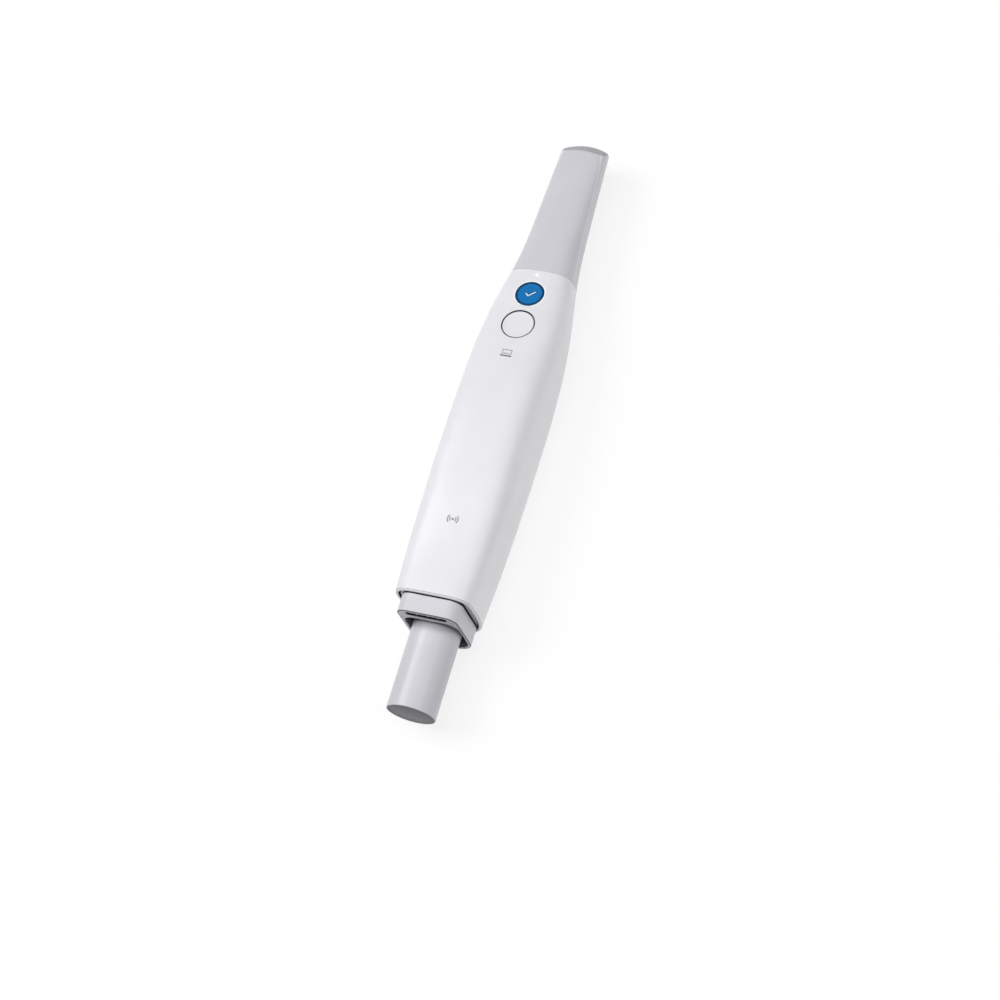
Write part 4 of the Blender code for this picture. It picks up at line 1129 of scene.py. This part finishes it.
@dataclass
class Nose:
    """The black nose that the tip slides over, its front glass and the seal round it.

    Attributes:
        form: The scanner's outer form.
        inset: How far the nose lies inside the outer form at its back.
        wall: Its wall.
        back: Its back end.
        front: Its front end.
        draft: How much further in it lies at its front.
    """

    form: Form
    inset: float = 1.9 * UNIT
    wall: float = 1.5 * UNIT
    back: float = 230.6 * UNIT
    front: float = 281.0 * UNIT
    draft: float = 0.9 * UNIT

    def ring(self, place: float, inset: float) -> np.ndarray:
        """Give a ring of the nose, which draws in towards its front to let the tip slide off."""
        share = (place - self.back) / (self.front - self.back)
        return self.form.ring(place, inset + self.draft * share, 120)

    def build(self) -> None:
        """Build the nose, the glass and the seal."""
        bore, edge, clearance = self.inset + self.wall, 0.8 * UNIT, 0.3 * UNIT
        thick, soft, lip_width = 1.4 * UNIT, 1.2 * UNIT, 1.5 * UNIT
        glass = self.front - 0.4 * UNIT - thick
        seal = glass - soft - clearance
        shelf = seal - clearance
        outer = [
            self.ring(place, self.inset) for place in np.linspace(self.back, self.front - edge, 40)
        ]
        for inset, y in round_over(edge, 6)[1:]:
            outer.append(self.ring(self.front - y, self.inset + inset))
        lip = bore + lip_width
        inner = [self.ring(self.front, bore), self.ring(shelf, bore), self.ring(shelf, lip)]
        inner += [self.ring(shelf - lip_width, lip), self.ring(shelf - lip_width, bore)]
        inner += [self.ring(place, bore) for place in np.linspace(shelf - 4 * UNIT, self.back, 20)]
        nose = Shop.loft("tip_carrier", outer + inner, BLACK, looped=True)
        shell = BodyShell(self.form)
        profile = rectangle(0, shell.light_hole, -7 * UNIT, 1 * UNIT)
        guide = Shop.turned("guide_hole", profile, shell.key_frame(shell.light), BLACK, 40)
        Shop.combine(nose, [guide])
        Shop.finish_piece(nose, Body.HANDLE, "black_plastic", "optics_nose")
        chamfer = 0.25 * UNIT
        steps = ((0.0, chamfer), (chamfer, 0.0), (thick - chamfer, 0.0), (thick, chamfer))
        discs = [self.ring(glass + y, bore + clearance + inset) for y, inset in steps]
        window = Shop.loft("front_glass", discs, GLASS)
        Shop.finish_piece(window, Body.HANDLE, "window_glass", "nose_window")
        section = rectangle(0, soft, bore + clearance, bore + lip_width)
        loop = [self.ring(seal + y, inset) for y, inset in section]
        gasket = Shop.loft("glass_gasket", loop, RUBBER, looped=True)
        Shop.finish_piece(gasket, Body.HANDLE, "seal_rubber", "window_seal")


@dataclass
class Keys:
    """The two round buttons, the tick on the blue one and the status light.

    Attributes:
        shell: The shell that they sit in.
        scan_radius: Radius of the white cap.
        check_radius: Radius of the blue cap.
        recess: How deep the caps lie under the skin.
        dish: How far a cap's middle is hollowed.
        step: Height of the step round a cap's middle.
        step_share: Radius of that step, as a share of the cap's.
        tick: The tick's corners, in units.
        tick_width: Width of the tick's stroke.
    """

    shell: BodyShell
    scan_radius: float = 8.0 * UNIT
    check_radius: float = 7.1 * UNIT
    recess: float = 0.25 * UNIT
    dish: float = 0.12 * UNIT
    step: float = 0.1 * UNIT
    step_share: float = 0.82
    tick: tuple[tuple[float, float], ...] = ((-2.2, 0.2), (-0.6, -1.2), (2.6, 1.7))
    tick_width: float = 0.55 * UNIT

    def cap(
        self,
        name: str,
        node: str,
        body: Body,
        place: float,
        radius: float,
        band: float,
        finish: Finish,
        rim: Finish,
    ) -> None:
        """band: The width of the darker band at its edge, painted shade next to the gap.
        """
        top, edge, base, foot = -self.recess, 0.38 * UNIT, -2.4 * UNIT, -3.8 * UNIT
        inner, step = self.step_share * radius, self.step
        skirt, stem, under = radius + 1.0 * UNIT, 1.6 * UNIT, base - 0.7 * UNIT
        profile = [(inner * r, top - step - self.dish * (1 - r * r)) for r in np.linspace(0, 1, 12)]
        profile += [(inner + 0.12 * UNIT, top - 0.3 * step), (inner + 0.3 * UNIT, top)]
        profile += [(radius - inset, top - y) for y, inset in round_over(edge, 8)]
        profile += [(radius, base), (skirt, base), (skirt, under)]
        profile += [(stem, under), (stem, foot), (0, foot)]
        frame = self.shell.key_frame(place)
        cap = Shop.turned(name, profile, frame, finish, sides=144)
        back = frame.inverted()
        # Painted shade: a darker band round the cap's edge.
        Shop.paint(cap, rim, lambda at: math.hypot(*(back @ at).xy) > radius - band)
        Shop.finish_piece(cap, body, finish.slot, node)

    def build_tick(self) -> None:
        """Lay the tick on the blue cap as a thin inlay, with a navy painted shadow of it set aside
        and lower.
        """
        frame = self.shell.key_frame(self.shell.check)
        path = [Vector((x * UNIT, y * UNIT, 0)) for x, y in self.tick]
        half = self.tick_width / 2
        left, right = [], []
        for i, here in enumerate(path):
            before = (here - path[i - 1]).normalized() if i else None
            after = (path[i + 1] - here).normalized() if i + 1 < len(path) else None
            way = ((before or after) + (after or before)).normalized()
            side = Vector((-way.y, way.x, 0))
            stretch = 1 / max(0.4, side.dot(Vector((-(before or after).y, (before or after).x, 0))))
            left.append(here + side * half * stretch)
            right.append(here - side * half * stretch)
        corners = [(p.x, p.y) for p in left + right[::-1]]
        level, sunk = -self.recess - self.step - self.dish, 0.05 * UNIT
        low, high = level - sunk, level + 2 * sunk
        tick = Shop.prism("check_tick", corners, frame, low, high, INK_WHITE)
        Shop.finish_piece(tick, Body.CHECK_KEY, "button_white")
        # Painted shadow: a navy copy of the tick, moved aside and set lower.
        aside, ahead = -0.35 * UNIT, 0.45 * UNIT
        shade = [(x + aside, y + ahead) for x, y in corners]
        under = Shop.prism("check_tick_shade", shade, frame, low, level + sunk, CHECK_EDGE_SHADE)
        Shop.finish_piece(under, Body.CHECK_KEY, "button_blue")

    def build_light(self) -> None:
        """Build the domed lens of the status light and its guide."""
        radius, foot = 0.7 * UNIT, -5.3 * UNIT
        dome = ((0, 0.12), (0.45, 0.09), (0.8, 0.0), (1, -0.2))
        profile = [(share * radius, height * UNIT) for share, height in dome]
        profile += [(radius, foot), (0, foot)]
        frame = self.shell.key_frame(self.shell.light)
        lens = Shop.turned("status_lens", profile, frame, LAMP, 40)
        Shop.finish_piece(lens, Body.HANDLE, "status_lens", "status_light")

    def build(self) -> None:
        """Build the caps, the tick and the light."""
        places = self.shell.scan, self.shell.check
        scan = ("scan_button", Body.SCAN_KEY, places[0], self.scan_radius, 0.12 * UNIT)
        check = ("check_button", Body.CHECK_KEY, places[1], self.check_radius, 0.75 * UNIT)
        self.cap("scan_cap", *scan, SCAN_CAP, CAP_SIDE_SHADE)
        self.cap("check_cap", *check, CHECK_CAP, CHECK_EDGE_SHADE)
        self.build_tick()
        self.build_light()


@dataclass
class Collar:
    """The rear end piece: a bezel round the battery, with the vent over it.

    Attributes:
        form: The scanner's outer form.
        start: Its end face.
        half_width: Half its width.
        top: Its top.
        belly: Its underside.
        wall: Its wall beside the battery's opening.
        corner: Radius of its upper corners.
        keel: Radius of its lower corners.
        edge: Radius of the edge round its end face.
        opening_top: The top of the battery's opening.
        vent_half_width: Half the vent's width.
        vent_height: The vent's height.
        vent_z: Height of the vent's middle.
        rib: Width of a rib in the vent.
        ribs: How many ribs there are.
    """

    form: Form
    start: float = 42.7 * UNIT
    half_width: float = 15.6 * UNIT
    top: float = 44.7 * UNIT
    belly: float = 2.4 * UNIT
    wall: float = 1.5 * UNIT
    corner: float = 6.5 * UNIT
    keel: float = 10.6 * UNIT
    edge: float = 0.45 * UNIT
    opening_top: float = 36.0 * UNIT
    vent_half_width: float = 10.5 * UNIT
    vent_height: float = 3.6 * UNIT
    vent_z: float = 41.1 * UNIT
    rib: float = 0.9 * UNIT
    ribs: int = 3

    def outline(self, grow: float) -> Outline:
        """Give the collar's outline in XZ, grown by a length.

        Args:
            grow: The length.

        Returns:
            The outline's corners.
        """
        half, g = self.half_width, grow
        return rounded(
            -half - g, half + g, self.belly - g, self.top + g, self.keel + g, self.corner + g, 14
        )

    def mouth(self, grow: float) -> Outline:
        """Give the battery opening's outline in XZ, grown by a length.

        Args:
            grow: The length.

        Returns:
            The outline's corners.
        """
        half, g = self.half_width - self.wall, grow
        low, keel = self.belly + self.wall, self.keel - self.wall
        return rounded(
            -half - g, half + g, low - g, self.opening_top + g, keel + g, 7 * UNIT + g, 14
        )

    def at(self, corners: Profile, place: float) -> np.ndarray:
        """Stand an XZ outline at a place along the scanner."""
        return np.array([(x, along(place), z) for x, z in corners])

    def cutters(self, back: float) -> list[Piece]:
        """Make the cutters: the battery's opening, the vent, the screw holes and the rim's gap.

        Args:
            back: Where the collar ends.

        Returns:
            The cutters.
        """
        start, rim, flare = self.start, self.form.rim, 0.5 * UNIT
        ahead, behind = start - 1 * UNIT, back + 1 * UNIT
        rings = [self.at(self.mouth(flare + 0.3 * UNIT), ahead)]
        rings += [self.at(self.mouth(grow), start + y) for y, grow in round_over(flare, 7)]
        rings += [self.at(self.mouth(0), behind)]
        low, high = self.vent_z - self.vent_height / 2, self.vent_z + self.vent_height / 2
        slot = rounded(-self.vent_half_width, self.vent_half_width, low, high, 1.0 * UNIT)
        vent = [self.at(slot, place) for place in (ahead, behind)]
        outer, inner = self.outline(2 * UNIT), self.outline(-1.2 * UNIT)
        near, far = rim - 0.3 * UNIT, rim + 0.9 * UNIT
        sides = ((outer, near), (outer, far), (inner, far), (inner, near))
        made = [Shop.loft("mouth_cut", rings, BEZEL), Shop.loft("vent_cut", vent, BLACK)]
        screw = rectangle(0, 1.2 * UNIT, back - 4 * UNIT, behind)
        for number, x in enumerate((-13.25 * UNIT, 13.25 * UNIT), 1):
            frame = along_axis(0, self.vent_z - 0.5 * UNIT, x)
            made.append(Shop.turned(f"screw_cut_{number}", screw, frame, BLACK, 24))
        gap = [self.at(*side) for side in sides]
        return [*made, Shop.loft("rim_gap_cut", gap, BLACK, looped=True)]

    def build(self) -> None:
        """Build the collar and the ribs in its vent."""
        start, edge, rim = self.start, self.edge, self.form.rim
        back = rim + 7.0 * UNIT
        rings = [self.at(self.outline(-inset), start + y) for y, inset in round_over(edge, 8)]
        for place in (start + edge + 1 * UNIT, start + 6 * UNIT, rim + 4.0 * UNIT):
            rings.append(self.at(self.outline(0), place))
        collar = Shop.loft("collar_bezel", rings, BEZEL)
        flange = [self.form.ring(y, 1.8 * UNIT, 96) for y in (rim + 3.0 * UNIT, back)]
        base = [self.form.ring(rim + y * UNIT, 2.3 * UNIT, 96) for y in (0.9, 3.2)]
        # The flange, collar_rim, is made black: painted shade in the gap behind the rim.
        parts = [Shop.loft("collar_rim", flange, BLACK), Shop.loft("collar_base", base, BEZEL)]
        Shop.combine(collar, parts, "UNION")
        Shop.combine(collar, self.cutters(back))
        self.paint_shade(collar)
        Shop.finish_piece(collar, Body.HANDLE, "collar_plastic", "rear_collar")
        pitch = (2 * self.vent_half_width + self.rib) / (self.ribs + 1)
        ribs = VentRibs(self.ribs, pitch, self.rib, self.vent_height + 0.6 * UNIT, 3.0 * UNIT)
        ribs.build(Vector((0, along(start + 2.25 * UNIT), self.vent_z)))

    def paint_shade(self, collar: Piece) -> None:
        """Paint shade on the collar: a dark line round the end, dark grey inside, and black in the
        gap at the rim, behind the rim and in the vent.

        Args:
            collar: The collar.
        """
        near, rim, within = 0.02 * UNIT, self.form.rim, self.within
        line, mouth, under = self.outline(-0.97 * self.edge), self.mouth(near), self.outline(-near)
        shade_line_end, deep = along(self.start + 0.7 * self.edge), along(self.start + 1.5 * UNIT)
        vent, gap = along(self.start + 0.2 * UNIT), along(rim - 0.35 * UNIT)
        half, reach = self.vent_half_width + SLACK, self.vent_height / 2 + SLACK

        def in_vent(at: Vector) -> bool:
            """Tell whether a point lies in the vent."""
            return abs(at.x) < half and abs(at.z - self.vent_z) < reach and at.y > vent

        Shop.paint(collar, BEZEL, lambda at: True)
        # Painted shade: a dark line round the outer edge of the end.
        Shop.paint(collar, BEZEL_SHADE_LINE, lambda at: at.y < shade_line_end and not within(at, line))
        # Painted shade: the opening's inner wall is dark grey past its mouth.
        Shop.paint(collar, BEZEL_DEEP_SHADE, lambda at: at.y > deep and within(at, mouth))
        # Painted shade: black in the gap at the rim, on everything behind it, and in the vent.
        Shop.paint(collar, BLACK, lambda at: at.y > gap and within(at, under))
        Shop.paint(collar, BLACK, lambda at: at.y > along(rim + 1.0 * UNIT))
        Shop.paint(collar, BLACK, in_vent)

    @staticmethod
    def within(at: Vector, corners: Profile) -> bool:
        """Tell whether a point lies inside an outline of the XZ plane.

        Args:
            at: The point.
            corners: The outline's corners.

        Returns:
            True if it does.
        """
        crossed = False
        for (x0, z0), (x1, z1) in zip(corners, [*corners[1:], corners[0]]):
            if (z0 > at.z) != (z1 > at.z) and at.x < x0 + (at.z - z0) / (z1 - z0) * (x1 - x0):
                crossed = not crossed
        return crossed


@dataclass
class VentRibs:
    """Upright ribs that divide the vent, repeated by a node tree.

    Attributes:
        count: How many ribs.
        pitch: Distance from rib to rib.
        width: A rib's width.
        height: Its height.
        depth: Its depth along the scanner.
    """

    count: int
    pitch: float
    width: float
    height: float
    depth: float

    def build(self, centre: Vector) -> None:
        """Build the ribs round a centre: a line of points, each with a rib.

        Args:
            centre: The middle of the row.
        """
        sizes = {"Count": self.count, "Pitch": self.pitch, "Width": self.width}
        sizes |= {"Height": self.height, "Depth": self.depth}
        tree, given = start_tree("vent_ribs", sizes)
        size = {"X": given["Width"], "Y": given["Depth"], "Z": given["Height"]}
        block = {"Size": wire(tree, "ShaderNodeCombineXYZ", size)}
        step = wire(tree, "ShaderNodeCombineXYZ", {"X": given["Pitch"]})
        row = {"Count": given["Count"], "Offset": step}
        pair = {
            "Points": wire(tree, "GeometryNodeMeshLine", row, "Mesh"),
            "Instance": wire(tree, "GeometryNodeMeshCube", block, "Mesh"),
        }
        ribs = wire(tree, "GeometryNodeInstanceOnPoints", pair, "Instances")
        piece = Shop.grow("vent_ribs", end_tree(tree, ribs, BEZEL), sizes)
        first = centre - Vector((self.pitch * (self.count - 1) / 2, 0, 0))
        piece.data.transform(Matrix.Translation(first))
        soft = piece.modifiers.new("soft", "BEVEL")
        soft.width, soft.segments = 0.25 * UNIT, 3
        Shop.flatten(piece)
        piece.data.shade_smooth()
        Shop.finish_piece(piece, Body.HANDLE, "collar_plastic")


@dataclass
class Battery:
    """The battery: its case, the end disc, dark grey as painted shade, and the front cap with its
    contact rings.

    Attributes:
        radius: The case's radius.
        axis_z: The height of its axis.
        length: Its whole length.
        wall: The case's wall.
        rim: Width of the case's rim round the end disc.
    """

    radius: float = 12.3 * UNIT
    axis_z: float = 20.8 * UNIT
    length: float = 82.0 * UNIT
    wall: float = 1.2 * UNIT
    rim: float = 0.45 * UNIT

    def build(self) -> None:
        """Build the case, the disc, the cap and the contact rings."""
        axis, r, bore = along_axis(0, self.axis_z), self.radius, self.radius - self.wall
        lip, end = r - self.rim, self.length - 4 * UNIT
        bevel, seat, gap = 0.08 * UNIT, 2.0 * UNIT, 0.3 * UNIT
        profile = [(lip, bevel), (lip + bevel, 0.0)]
        profile += [(r - inset, y) for y, inset in round_over(0.25 * UNIT, 6)]
        profile += [(r, end), (bore, end), (bore, seat), (lip, seat)]
        case = Shop.turned("battery_sleeve", profile, axis, CASE, sides=160, looped=True)
        Shop.finish_piece(case, Body.BATTERY, "battery_case", "battery_tube")
        disc, face, under = lip - 0.12 * UNIT, 0.3 * UNIT, 1.7 * UNIT
        profile = [(0, face), (disc - face, face), (disc, 1.5 * face), (disc, under), (0, under)]
        # Painted shade: the end disc is dark grey.
        cap = Shop.turned("battery_end_disc", profile, axis, END_DISC_SHADE, sides=160)
        Shop.finish_piece(cap, Body.BATTERY, "battery_end", "battery_end_cap")
        start, plug_radius = 73.1 * UNIT, bore - gap
        profile = [(0, start), (plug_radius, start), (plug_radius, end + gap), (r, end + gap)]
        profile += [(r - inset, self.length - y) for inset, y in round_over(0.8 * UNIT, 7)]
        profile += [(0, self.length)]
        plug = Shop.turned("battery_plug", profile, axis, BLACK, sides=120)
        Shop.finish_piece(plug, Body.BATTERY, "black_plastic", "battery_front_cap")
        low, high = self.length - 0.1 * UNIT, self.length + 0.06 * UNIT
        for number, (inner, outer) in enumerate(((3.2, 4.9), (6.6, 8.0)), 1):
            loop = rectangle(inner * UNIT, outer * UNIT, low, high)
            ring = Shop.turned(f"battery_contact_{number}", loop, axis, GOLD, sides=96, looped=True)
            Shop.finish_piece(ring, Body.BATTERY, "contact_gold")


@dataclass
class Symbols:
    """The small printed symbols on the grip: a screen over a line, and radio waves.

    Attributes:
        form: The scanner's outer form.
        screen: Place of the screen symbol.
        waves: Place of the wave symbol.
        ink: Thickness of the print.
    """

    form: Form
    screen: float = 184.5 * UNIT
    waves: float = 92.1 * UNIT
    ink: float = 0.03 * UNIT

    def bars(
        self,
        name: str,
        place: float,
        bars: Iterable[tuple[float, float, float, float]],
        ink: Finish,
    ) -> None:
        """Print a symbol of straight bars.

        Args:
            name: The piece's name.
            place: Where it is.
            bars: Each bar's lowest and highest corner in units, as x0, y0, x1, y1.
            ink: The print's finish.
        """
        frame = self.form.top_frame(place)
        points, faces = [], []
        for x0, y0, x1, y1 in bars:
            base, corners = len(points), rectangle(x0 * UNIT, x1 * UNIT, y0 * UNIT, y1 * UNIT)
            points += [frame @ Vector((x, y, z)) for z in (0.0, self.ink) for x, y in corners]
            sides = [(k, (k + 1) % 4, (k + 1) % 4 + 4, k + 4) for k in range(4)]
            for face in ((0, 1, 2, 3), (4, 5, 6, 7), *sides):
                faces.append(tuple(base + k for k in face))
        mark = Shop.piece(name, points, faces, ink)
        Shop.finish_piece(mark, Body.HANDLE, "collar_plastic")

    def build_waves(self) -> None:
        """Print the wave symbol: a dot between arcs, each wider than the last."""
        sizes = {"Step": 1.1 * UNIT, "First": 1.6 * UNIT, "Width": 0.55 * UNIT}
        half_turn, bands = 0.72, 2
        tree, given = start_tree("radio_waves", sizes)
        join = tree.nodes.new("GeometryNodeJoinGeometry")
        for side in (0.0, math.pi):
            for band in range(bands):
                radius = {0: given["Step"], 1: float(band), 2: given["First"]}
                arc = {
                    "Resolution": 14,
                    "Start Angle": side - half_turn,
                    "Sweep Angle": 2 * half_turn,
                    "Radius": wire(tree, "ShaderNodeMath", radius, operation="MULTIPLY_ADD"),
                }
                feed(tree, join, {"Geometry": wire(tree, "GeometryNodeCurveArc", arc, "Curve")})
        line = {"Width": given["Width"], "Height": 2 * self.ink}
        sweep = {
            "Fill Caps": True,
            "Curve": join.outputs["Geometry"],
            "Profile Curve": wire(tree, "GeometryNodeCurvePrimitiveQuadrilateral", line, "Curve"),
        }
        waves = wire(tree, "GeometryNodeCurveToMesh", sweep, "Mesh")
        piece = Shop.grow("wave_symbol", end_tree(tree, waves, INK_GREY), sizes)
        piece.data.transform(self.form.top_frame(self.waves))
        Shop.finish_piece(piece, Body.HANDLE, "collar_plastic")
        dot = rectangle(0, 0.62 * UNIT, 0, self.ink)
        centre = Shop.turned("wave_dot", dot, self.form.top_frame(self.waves), INK_GREY, sides=32)
        Shop.finish_piece(centre, Body.HANDLE, "collar_plastic")

    def build(self) -> None:
        """Print both symbols."""
        half, rise, stroke = 2.5, 1.35, 0.36
        bars = [
            (-half, rise - stroke, half, rise),
            (-half, -rise, half, stroke - rise),
            (-half, -rise, stroke - half, rise),
            (half - stroke, -rise, half, rise),
        ]
        bars += [(x - 0.25, 0.6 - rise, x + 0.25, 0.95 - rise) for x in (-1.2, 0.0, 1.2)]
        foot = (-half - 0.5, -rise - 1.3, half + 0.4, -rise - 0.6)
        self.bars("screen_symbol", self.screen, bars, INK_GREY)
        self.bars("screen_foot", self.screen, [foot], INK_DARK)
        self.build_waves()


@dataclass
class BoardParts:
    """Small components on the main board, scattered by a node tree with a fixed seed.

    Attributes:
        seed: The scatter's seed.
        density: Components per square metre.
    """

    seed: int = 7
    density: float = 26000.0

    def build(self) -> None:
        """Put the components on the bare end of the board: scattered points, each with a block."""
        sizes = {"Seed": self.seed, "Density": self.density}
        tree, given = start_tree("board_parts", sizes)
        area = {"Size X": 28 * UNIT, "Size Y": 5 * UNIT}
        spots = {
            "Distance Min": 2.6 * UNIT,
            "Mesh": wire(tree, "GeometryNodeMeshGrid", area, "Mesh"),
            "Density Max": given["Density"],
            "Seed": given["Seed"],
        }
        kind, block = "GeometryNodeDistributePointsOnFaces", (1.6 * UNIT, 0.9 * UNIT, 0.7 * UNIT)
        pair = {
            "Points": wire(tree, kind, spots, "Points", distribute_method="POISSON"),
            "Instance": wire(tree, "GeometryNodeMeshCube", {"Size": block}, "Mesh"),
        }
        parts = wire(tree, "GeometryNodeInstanceOnPoints", pair, "Instances")
        piece = Shop.grow("board_components", end_tree(tree, parts, CHIP), sizes)
        low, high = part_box("main_board")
        piece.data.transform(Matrix.Translation((0, high[1] - 14 * UNIT, high[2] + 0.36 * UNIT)))
        Shop.finish_piece(piece, Body.HANDLE, "black_plastic")


@dataclass
class Studio:
    """The floor, the light and the camera.

    Attributes:
        azimuth: The camera's direction round the scanner, in degrees.
        elevation: Its height over the horizon, in degrees.
        roll: Its roll, in degrees.
        distance: Its distance.
        lens: Its focal length for a 36 mm wide sensor.
        aim: What it points at, before it is moved aside and up.
        aside: How far it is moved to its right.
        above: How far it is moved up.
        ambient: Strength of the even light from all round.
        tones: The floor's tone for the light that it gives back, and where it is seen.
        glow: How much light the floor adds where it is seen, so that it reads as white.
        floor_half: Half the floor's side.
        lamp_size: The side of every lamp.
        lamp_aim: What every lamp points at.
        lamps: Each lamp's name, place and power in watts.
    """

    azimuth: float = 42.54
    elevation: float = 62.30
    roll: float = -28.79
    distance: float = 1321.78 * UNIT
    lens: float = 95.63
    aim: Point = (0.0, along(160 * UNIT), 20 * UNIT)
    aside: float = -2.194 * UNIT
    above: float = -40.954 * UNIT
    ambient: float = 0.0
    tones: tuple[float, float] = (0.92, 0.25)
    glow: float = 0.785
    floor_half: float = 6.0
    lamp_size: float = 1.2
    lamp_aim: Point = (0, 0, 0.03)
    lamps: tuple[tuple[str, Point, float], ...] = (
        ("top", (0, 0, 2.0), 11.5),
        ("key", (-1.2, 0, 1.6), 23.4),
        ("left", (-1.9, 0, 0.6), 1.3),
        ("right", (1.2, 0, 1.6), 10.5),
        ("low_right", (1.9, 0, 0.5), 5.0),
    )

    def camera(self) -> None:
        """Put the camera where the photograph was taken from."""
        a, e, r = (math.radians(v) for v in (self.azimuth, self.elevation, self.roll))
        back = Vector((math.sin(a) * math.cos(e), -math.cos(a) * math.cos(e), math.sin(e)))
        level = Vector((math.cos(a), math.sin(a), 0))
        over = back.cross(level)
        right = math.cos(r) * level + math.sin(r) * over
        up = -math.sin(r) * level + math.cos(r) * over
        eye = Vector(self.aim) + back * self.distance + right * self.aside + up * self.above
        camera = bpy.data.objects.new("camera", bpy.data.cameras.new("camera"))
        camera.data.lens = self.lens
        camera.data.sensor_width = 36.0
        camera.data.clip_start, camera.data.clip_end = 0.05, 20.0
        turn = Matrix((right, up, back)).transposed()
        camera.matrix_world = Matrix.Translation(eye) @ turn.to_4x4()
        bpy.context.scene.collection.objects.link(camera)
        bpy.context.scene.camera = camera

    def lamp(self, name: str, place: Point, power: float) -> None:
        """Hang a soft square lamp.

        Args:
            name: Its name.
            place: Where it hangs.
            power: Its power in watts.
        """
        light = bpy.data.lights.new(name, "AREA")
        light.energy, light.size = power, self.lamp_size
        lamp = bpy.data.objects.new(name, light)
        lamp.location = place
        way = Vector(place) - Vector(self.lamp_aim)
        lamp.rotation_euler = way.to_track_quat("Z", "Y").to_euler()
        bpy.context.scene.collection.objects.link(lamp)

    def seen(self, tree: Tree) -> Socket:
        """Give 1 for what is seen directly, in gloss or through glass, and 0 for plain light.

        Args:
            tree: The tree that asks.

        Returns:
            The value.
        """
        path = tree.nodes.new("ShaderNodeLightPath")
        value = path.outputs["Is Camera Ray"]
        for name in ("Is Glossy Ray", "Is Transmission Ray"):
            both = {0: value, 1: path.outputs[name]}
            value = wire(tree, "ShaderNodeMath", both, operation="MAXIMUM")
        return value

    def world(self) -> None:
        """Fill the surroundings with an even light, which is white where it is seen."""
        world = bpy.data.worlds.new("studio")
        world.use_nodes = True
        tree = world.node_tree
        spread = {"To Min": self.ambient, "To Max": 1.0, "Value": self.seen(tree)}
        strength = wire(tree, "ShaderNodeMapRange", spread, "Result")
        sky = {"Strength": strength, "Color": (1.0, 1.0, 1.0, 1.0)}
        feed(tree, tree.nodes["Background"], sky)
        bpy.context.scene.world = world

    def floor(self) -> None:
        """Lay the white floor, which keeps the scanner's soft shadow."""
        half = self.floor_half
        corners = [(x * half, y * half, 0) for x, y in ((-1, -1), (1, -1), (1, 1), (-1, 1))]
        mesh = bpy.data.meshes.new("floor")
        mesh.from_pydata(corners, [], [(0, 1, 2, 3)])
        floor = bpy.data.objects.new("floor", mesh)
        bpy.context.scene.collection.objects.link(floor)
        material = bpy.data.materials.new("studio_floor")
        material.use_nodes = True
        tree = material.node_tree
        seen = self.seen(tree)
        tone = {"To Min": self.tones[0], "To Max": self.tones[1], "Value": seen}
        glow = {0: seen, 1: self.glow}
        paint = {
            "Base Color": wire(tree, "ShaderNodeMapRange", tone, "Result"),
            "Roughness": 1.0,
            "Specular IOR Level": 0.0,
            "Emission Color": (1.0, 1.0, 1.0, 1.0),
            "Emission Strength": wire(tree, "ShaderNodeMath", glow, operation="MULTIPLY"),
        }
        feed(tree, tree.nodes["Principled BSDF"], paint)
        mesh.materials.append(material)

    def build(self) -> None:
        """Set the camera, the world, the floor and the lamps."""
        bpy.context.scene.view_settings.view_transform = "Standard"
        self.camera()
        self.world()
        self.floor()
        for lamp in self.lamps:
            self.lamp(*lamp)


def dress_kept_nodes(nodes: dict[str, Piece]) -> None:
    """Give every solid that stays its finish.

    Args:
        nodes: The solids of the loaded frame, by name.
    """
    for finish, names in KEPT_NODES.items():
        material = finish.make()
        for name in names:
            node = nodes[name]
            for slot in node.material_slots:
                slot.material = material
            LOG.info("%s is finished in %s", name, finish.name)


def main() -> None:
    """Build the scanner's looks, piece by piece."""
    logging.basicConfig(level=logging.INFO, format="%(name)s: %(message)s")
    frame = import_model()
    form = Form()
    shell = BodyShell(form)
    shell.build()
    ScanTip(form).build()
    Nose(form).build()
    Keys(shell).build()
    Collar(form).build()
    Battery().build()
    Symbols(form).build()
    BoardParts().build()
    dress_kept_nodes(frame["nodes"])
    Studio().build()


if __name__ == "__main__":
    main()
